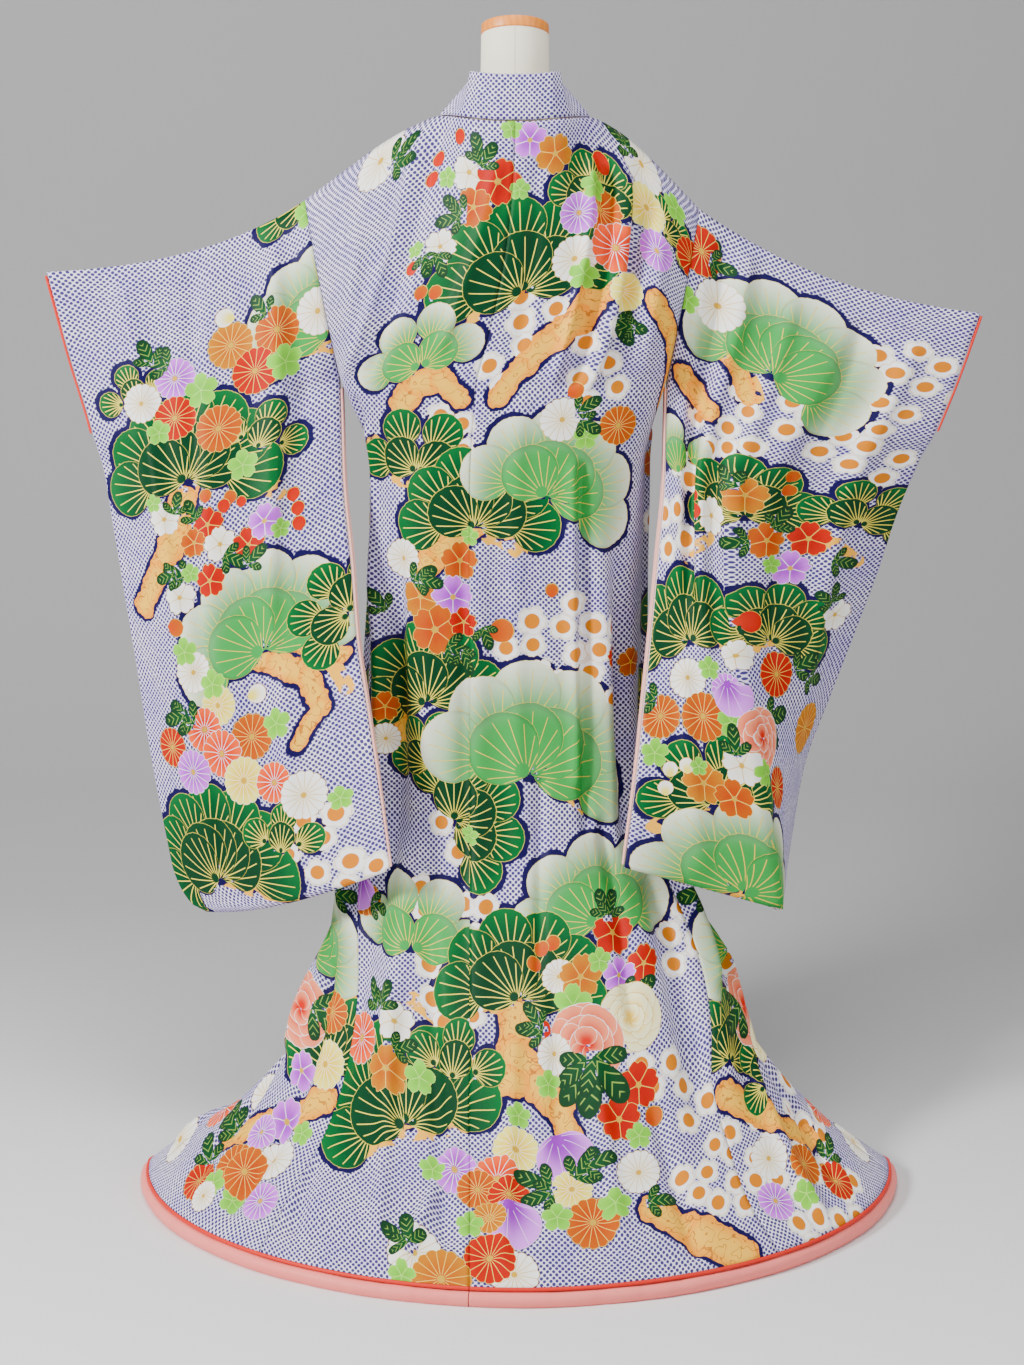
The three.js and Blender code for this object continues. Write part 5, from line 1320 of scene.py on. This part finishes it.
ROLL_HIGH, ROLL_DEEP, ROLL_OUT, ROLL_SIDES, ROLL_STEPS = 9.1, 11.2, 0.6, 20, 420
ROLL_FLATTENED, ROLL_SQUARED = 0.8, 0.85
STITCH_PITCH, STITCH_UNEVEN, DIMPLE_SHARE = 46, 0.35, 0.13
DIMPLE_DEEP, DIMPLE_HIGH, LUMP_DEEP, LUMP_HIGH = 0.8, 0.5, 0.5, 0.3
PIPING_RADIUS, PIPING_OUT, PIPING_SIDES, SEAM_GAP = 2.4, 1.6, 12, 0.3
HEM_START = 0.0006


def hem_path(side, outwards, height, shares):
    """The ring of the hem from the centre-back seam to the front edge, moved out by so much."""
    z = np.array([HEM_EDGE])
    angles, runs, _ = ring_runs(side, z)
    angle = np.interp(shares * runs[0, -1], runs[0], angles[0])[None]
    spot = ring_point(z, angle)[0]
    ahead = unit(ring_point(z, angle + 0.01)[0] - ring_point(z, angle - 0.01)[0])
    out = np.stack([-ahead[:, 1], ahead[:, 0], 0 * angle[0]], 1)
    path = np.column_stack([spot, np.full(len(shares), height)]) + out * outwards
    return path, out, np.broadcast_to([0.0, 0.0, 1.0], path.shape)


for side, first in (("left", 0.3), ("right", 1.7)):
    shares = np.linspace(HEM_START, 1, ROLL_STEPS)
    path, out, up = hem_path(side, ROLL_OUT, ROLL_HIGH, shares)
    run = run_along(path)
    beat = run / STITCH_PITCH + STITCH_UNEVEN * np.sin(run / 83 + first) + first
    dimple = np.exp(-((np.abs(beat - np.round(beat)) / DIMPLE_SHARE) ** 2))
    dimple = dimple * (0.6 + 0.4 * np.sin(run / 61 - first))
    deep = ROLL_DEEP - DIMPLE_DEEP * dimple - LUMP_DEEP * (1 + np.sin(run / 27 + first))
    high = ROLL_HIGH - DIMPLE_HIGH * dimple - LUMP_HIGH * (1 + np.sin(run / 19 + first))
    angle = np.linspace(0, 2 * pi, ROLL_SIDES + 1)
    ring_out = np.sign(np.cos(angle)) * np.abs(np.cos(angle)) ** ROLL_SQUARED
    ring_up = np.maximum(np.sin(angle), -ROLL_FLATTENED) / np.where(np.sin(angle) < 0, ROLL_FLATTENED, 1)
    rings = (path[:, None] + out[:, None] * (ring_out * deep[:, None])[..., None]
             + up[:, None] * (ring_up * high[:, None])[..., None])
    rings[..., 2] = np.maximum(rings[..., 2] - (ROLL_HIGH - high[:, None]) * (ring_up < 0), 0.0)
    rings[:, -1] = rings[:, 0]
    roll = closed(f"hem_roll_{side}", rings, PINK_SILK)

    piping_height = HEM_EDGE - SEAM_GAP - PIPING_RADIUS
    path, out, up = hem_path(side, PIPING_OUT, piping_height, shares)
    rings = tube_rings(path, out, up, PIPING_RADIUS, PIPING_RADIUS, PIPING_SIDES)
    closed(f"hem_piping_{side}", rings, CORAL_SILK)

# ------------------------------------------------------------------ the dress form
# A limbless torso of padded board covered in ivory canvas, sewn down the middle of the back and
# round the foot of the neck. A turned wooden cap closes the neck, which leans forward.

FORM_RINGS = table("z half back front", [
    (780, 148, 76, -92), (840, 152, 80, -94), (950, 122, 66, -78), (1040, 116, 66, -84),
    (1150, 138, 84, -84), (1230, 150, 80, -68), (1300, 161, 71, -46), (1350, 154, 54, -28),
    (1385, 112, 45, -21), (1408, 74, 45, -22), (1432, 54, 47, -30), (1470, 47, 42, -46),
    (1530, 46, 32, -56),
])
NECK_TILT, NECK_TILT_FROM, FORM_SIDES, FORM_ROWS = 15.0, 1440.0, 72, 110
CAP_RADIUS, CAP_THICK, CAP_SIDES, CAP_ROUND = 46.0, 15.0, 96, 0.0022
SEAM_BAND_Z, SEAM_LINE, WEAVE = 1.468, 0.0006, 2100.0

heights = np.linspace(FORM_RINGS["z"][0], FORM_RINGS["z"][-1], FORM_ROWS)
half, back, front = (read(FORM_RINGS, "z", heights, c)[:, None] for c in ("half", "back", "front"))
angle = np.linspace(0, 2 * pi, FORM_SIDES + 1)
y = (back + front) / 2 + (back - front) / 2 * np.cos(angle)
lift = tan(radians(NECK_TILT)) * smooth(heights, NECK_TILT_FROM, FORM_RINGS["z"][-1])[:, None]
rings = np.dstack([half * np.sin(angle), y, heights[:, None] + (y - (back + front) / 2) * lift])
rings[:, -1] = rings[:, 0]

CANVAS = plain_material("ivory_canvas", (0.80, 0.77, 0.68), 0.9)
tree = CANVAS.node_tree
place = tree.nodes.new("ShaderNodeTexCoord").outputs["Object"]
x, y, z = split(tree, place)
band = (z - y * 0.2 - SEAM_BAND_Z).math("ABSOLUTE").step(SEAM_LINE * 1.6, SEAM_LINE * 0.5)
middle = x.math("ABSOLUTE").step(SEAM_LINE * 1.6, SEAM_LINE * 0.5)
seam = band.math("MAXIMUM", middle)
weave = (x * WEAVE).math("SINE") * (z * WEAVE).math("SINE")
colour = mixed(tree, noise(tree, place, 40, 3) * 0.5, (0.95, 0.92, 0.74), (0.86, 0.80, 0.60))
colour = mixed(tree, seam * 0.55, colour, (0.45, 0.40, 0.32))
surfaced(CANVAS, colour, gloss=0.2, height=weave * 0.3 - seam, strength=0.35, distance=0.0004)
torso = closed("form_torso", rings, CANVAS)

GRAIN_LINES, GRAIN_WAVE = 130.0, 5.0
WOOD = plain_material("turned_wood", (0.62, 0.33, 0.14), 0.42)
tree = WOOD.node_tree
place = tree.nodes.new("ShaderNodeTexCoord").outputs["Object"]
x, y, z = split(tree, place)
grain = (x * GRAIN_LINES + noise(tree, place, 18, 3) * GRAIN_WAVE).math("FRACT")
grain = (grain - 0.5).math("ABSOLUTE") * 2.0
tree.links.new(mixed(tree, grain * 0.6, (0.90, 0.30, 0.030), (0.70, 0.18, 0.012)),
               tree.nodes["Principled BSDF"].inputs["Base Color"])
bpy.ops.object.select_all(action="DESELECT")
bpy.ops.mesh.primitive_cylinder_add(vertices=CAP_SIDES, radius=CAP_RADIUS / 1000, depth=CAP_THICK / 1000,
                                    location=(0, 0, (CAP_THICK / 2 + SEAM_GAP) / 1000))
cap = bpy.context.object
cap.name = cap.data.name = "turned_cap"
bpy.ops.object.transform_apply(location=True, rotation=True, scale=True)
rounded = cap.modifiers.new("rounded", "BEVEL")
rounded.width, rounded.segments, rounded.limit_method = CAP_ROUND, 4, "ANGLE"
bpy.ops.object.modifier_apply(modifier="rounded")
neck_y = (FORM_RINGS["back"][-1] + FORM_RINGS["front"][-1]) / 2000
cap.rotation_euler = (radians(NECK_TILT), 0, 0)
cap.location = (0, neck_y, FORM_RINGS["z"][-1] / 1000)
bpy.ops.object.transform_apply(location=True, rotation=True, scale=True)
bpy.ops.object.shade_smooth_by_angle(angle=radians(35))
cap.data.materials.append(WOOD)
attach(cap, "root")
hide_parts("form_cap")

# ------------------------------------------------------------------ the stand
# A steel tube under the torso on a heavy round foot. Its turned shapes are right as they are and
# get a satin painted finish.

STEEL = plain_material("satin_steel", (0.10, 0.10, 0.11), 0.4)
tree = STEEL.node_tree
tree.nodes["Principled BSDF"].inputs["Metallic"].default_value = 0.8
place = tree.nodes.new("ShaderNodeTexCoord").outputs["Object"]
worn = noise(tree, place, 60, 3) * 0.2 + 0.3
tree.links.new(worn.socket, tree.nodes["Principled BSDF"].inputs["Roughness"])
for name in ("stand_pole", "stand_base"):
    part = bpy.data.objects[name]
    part.data.materials.clear()
    part.data.materials.append(STEEL)
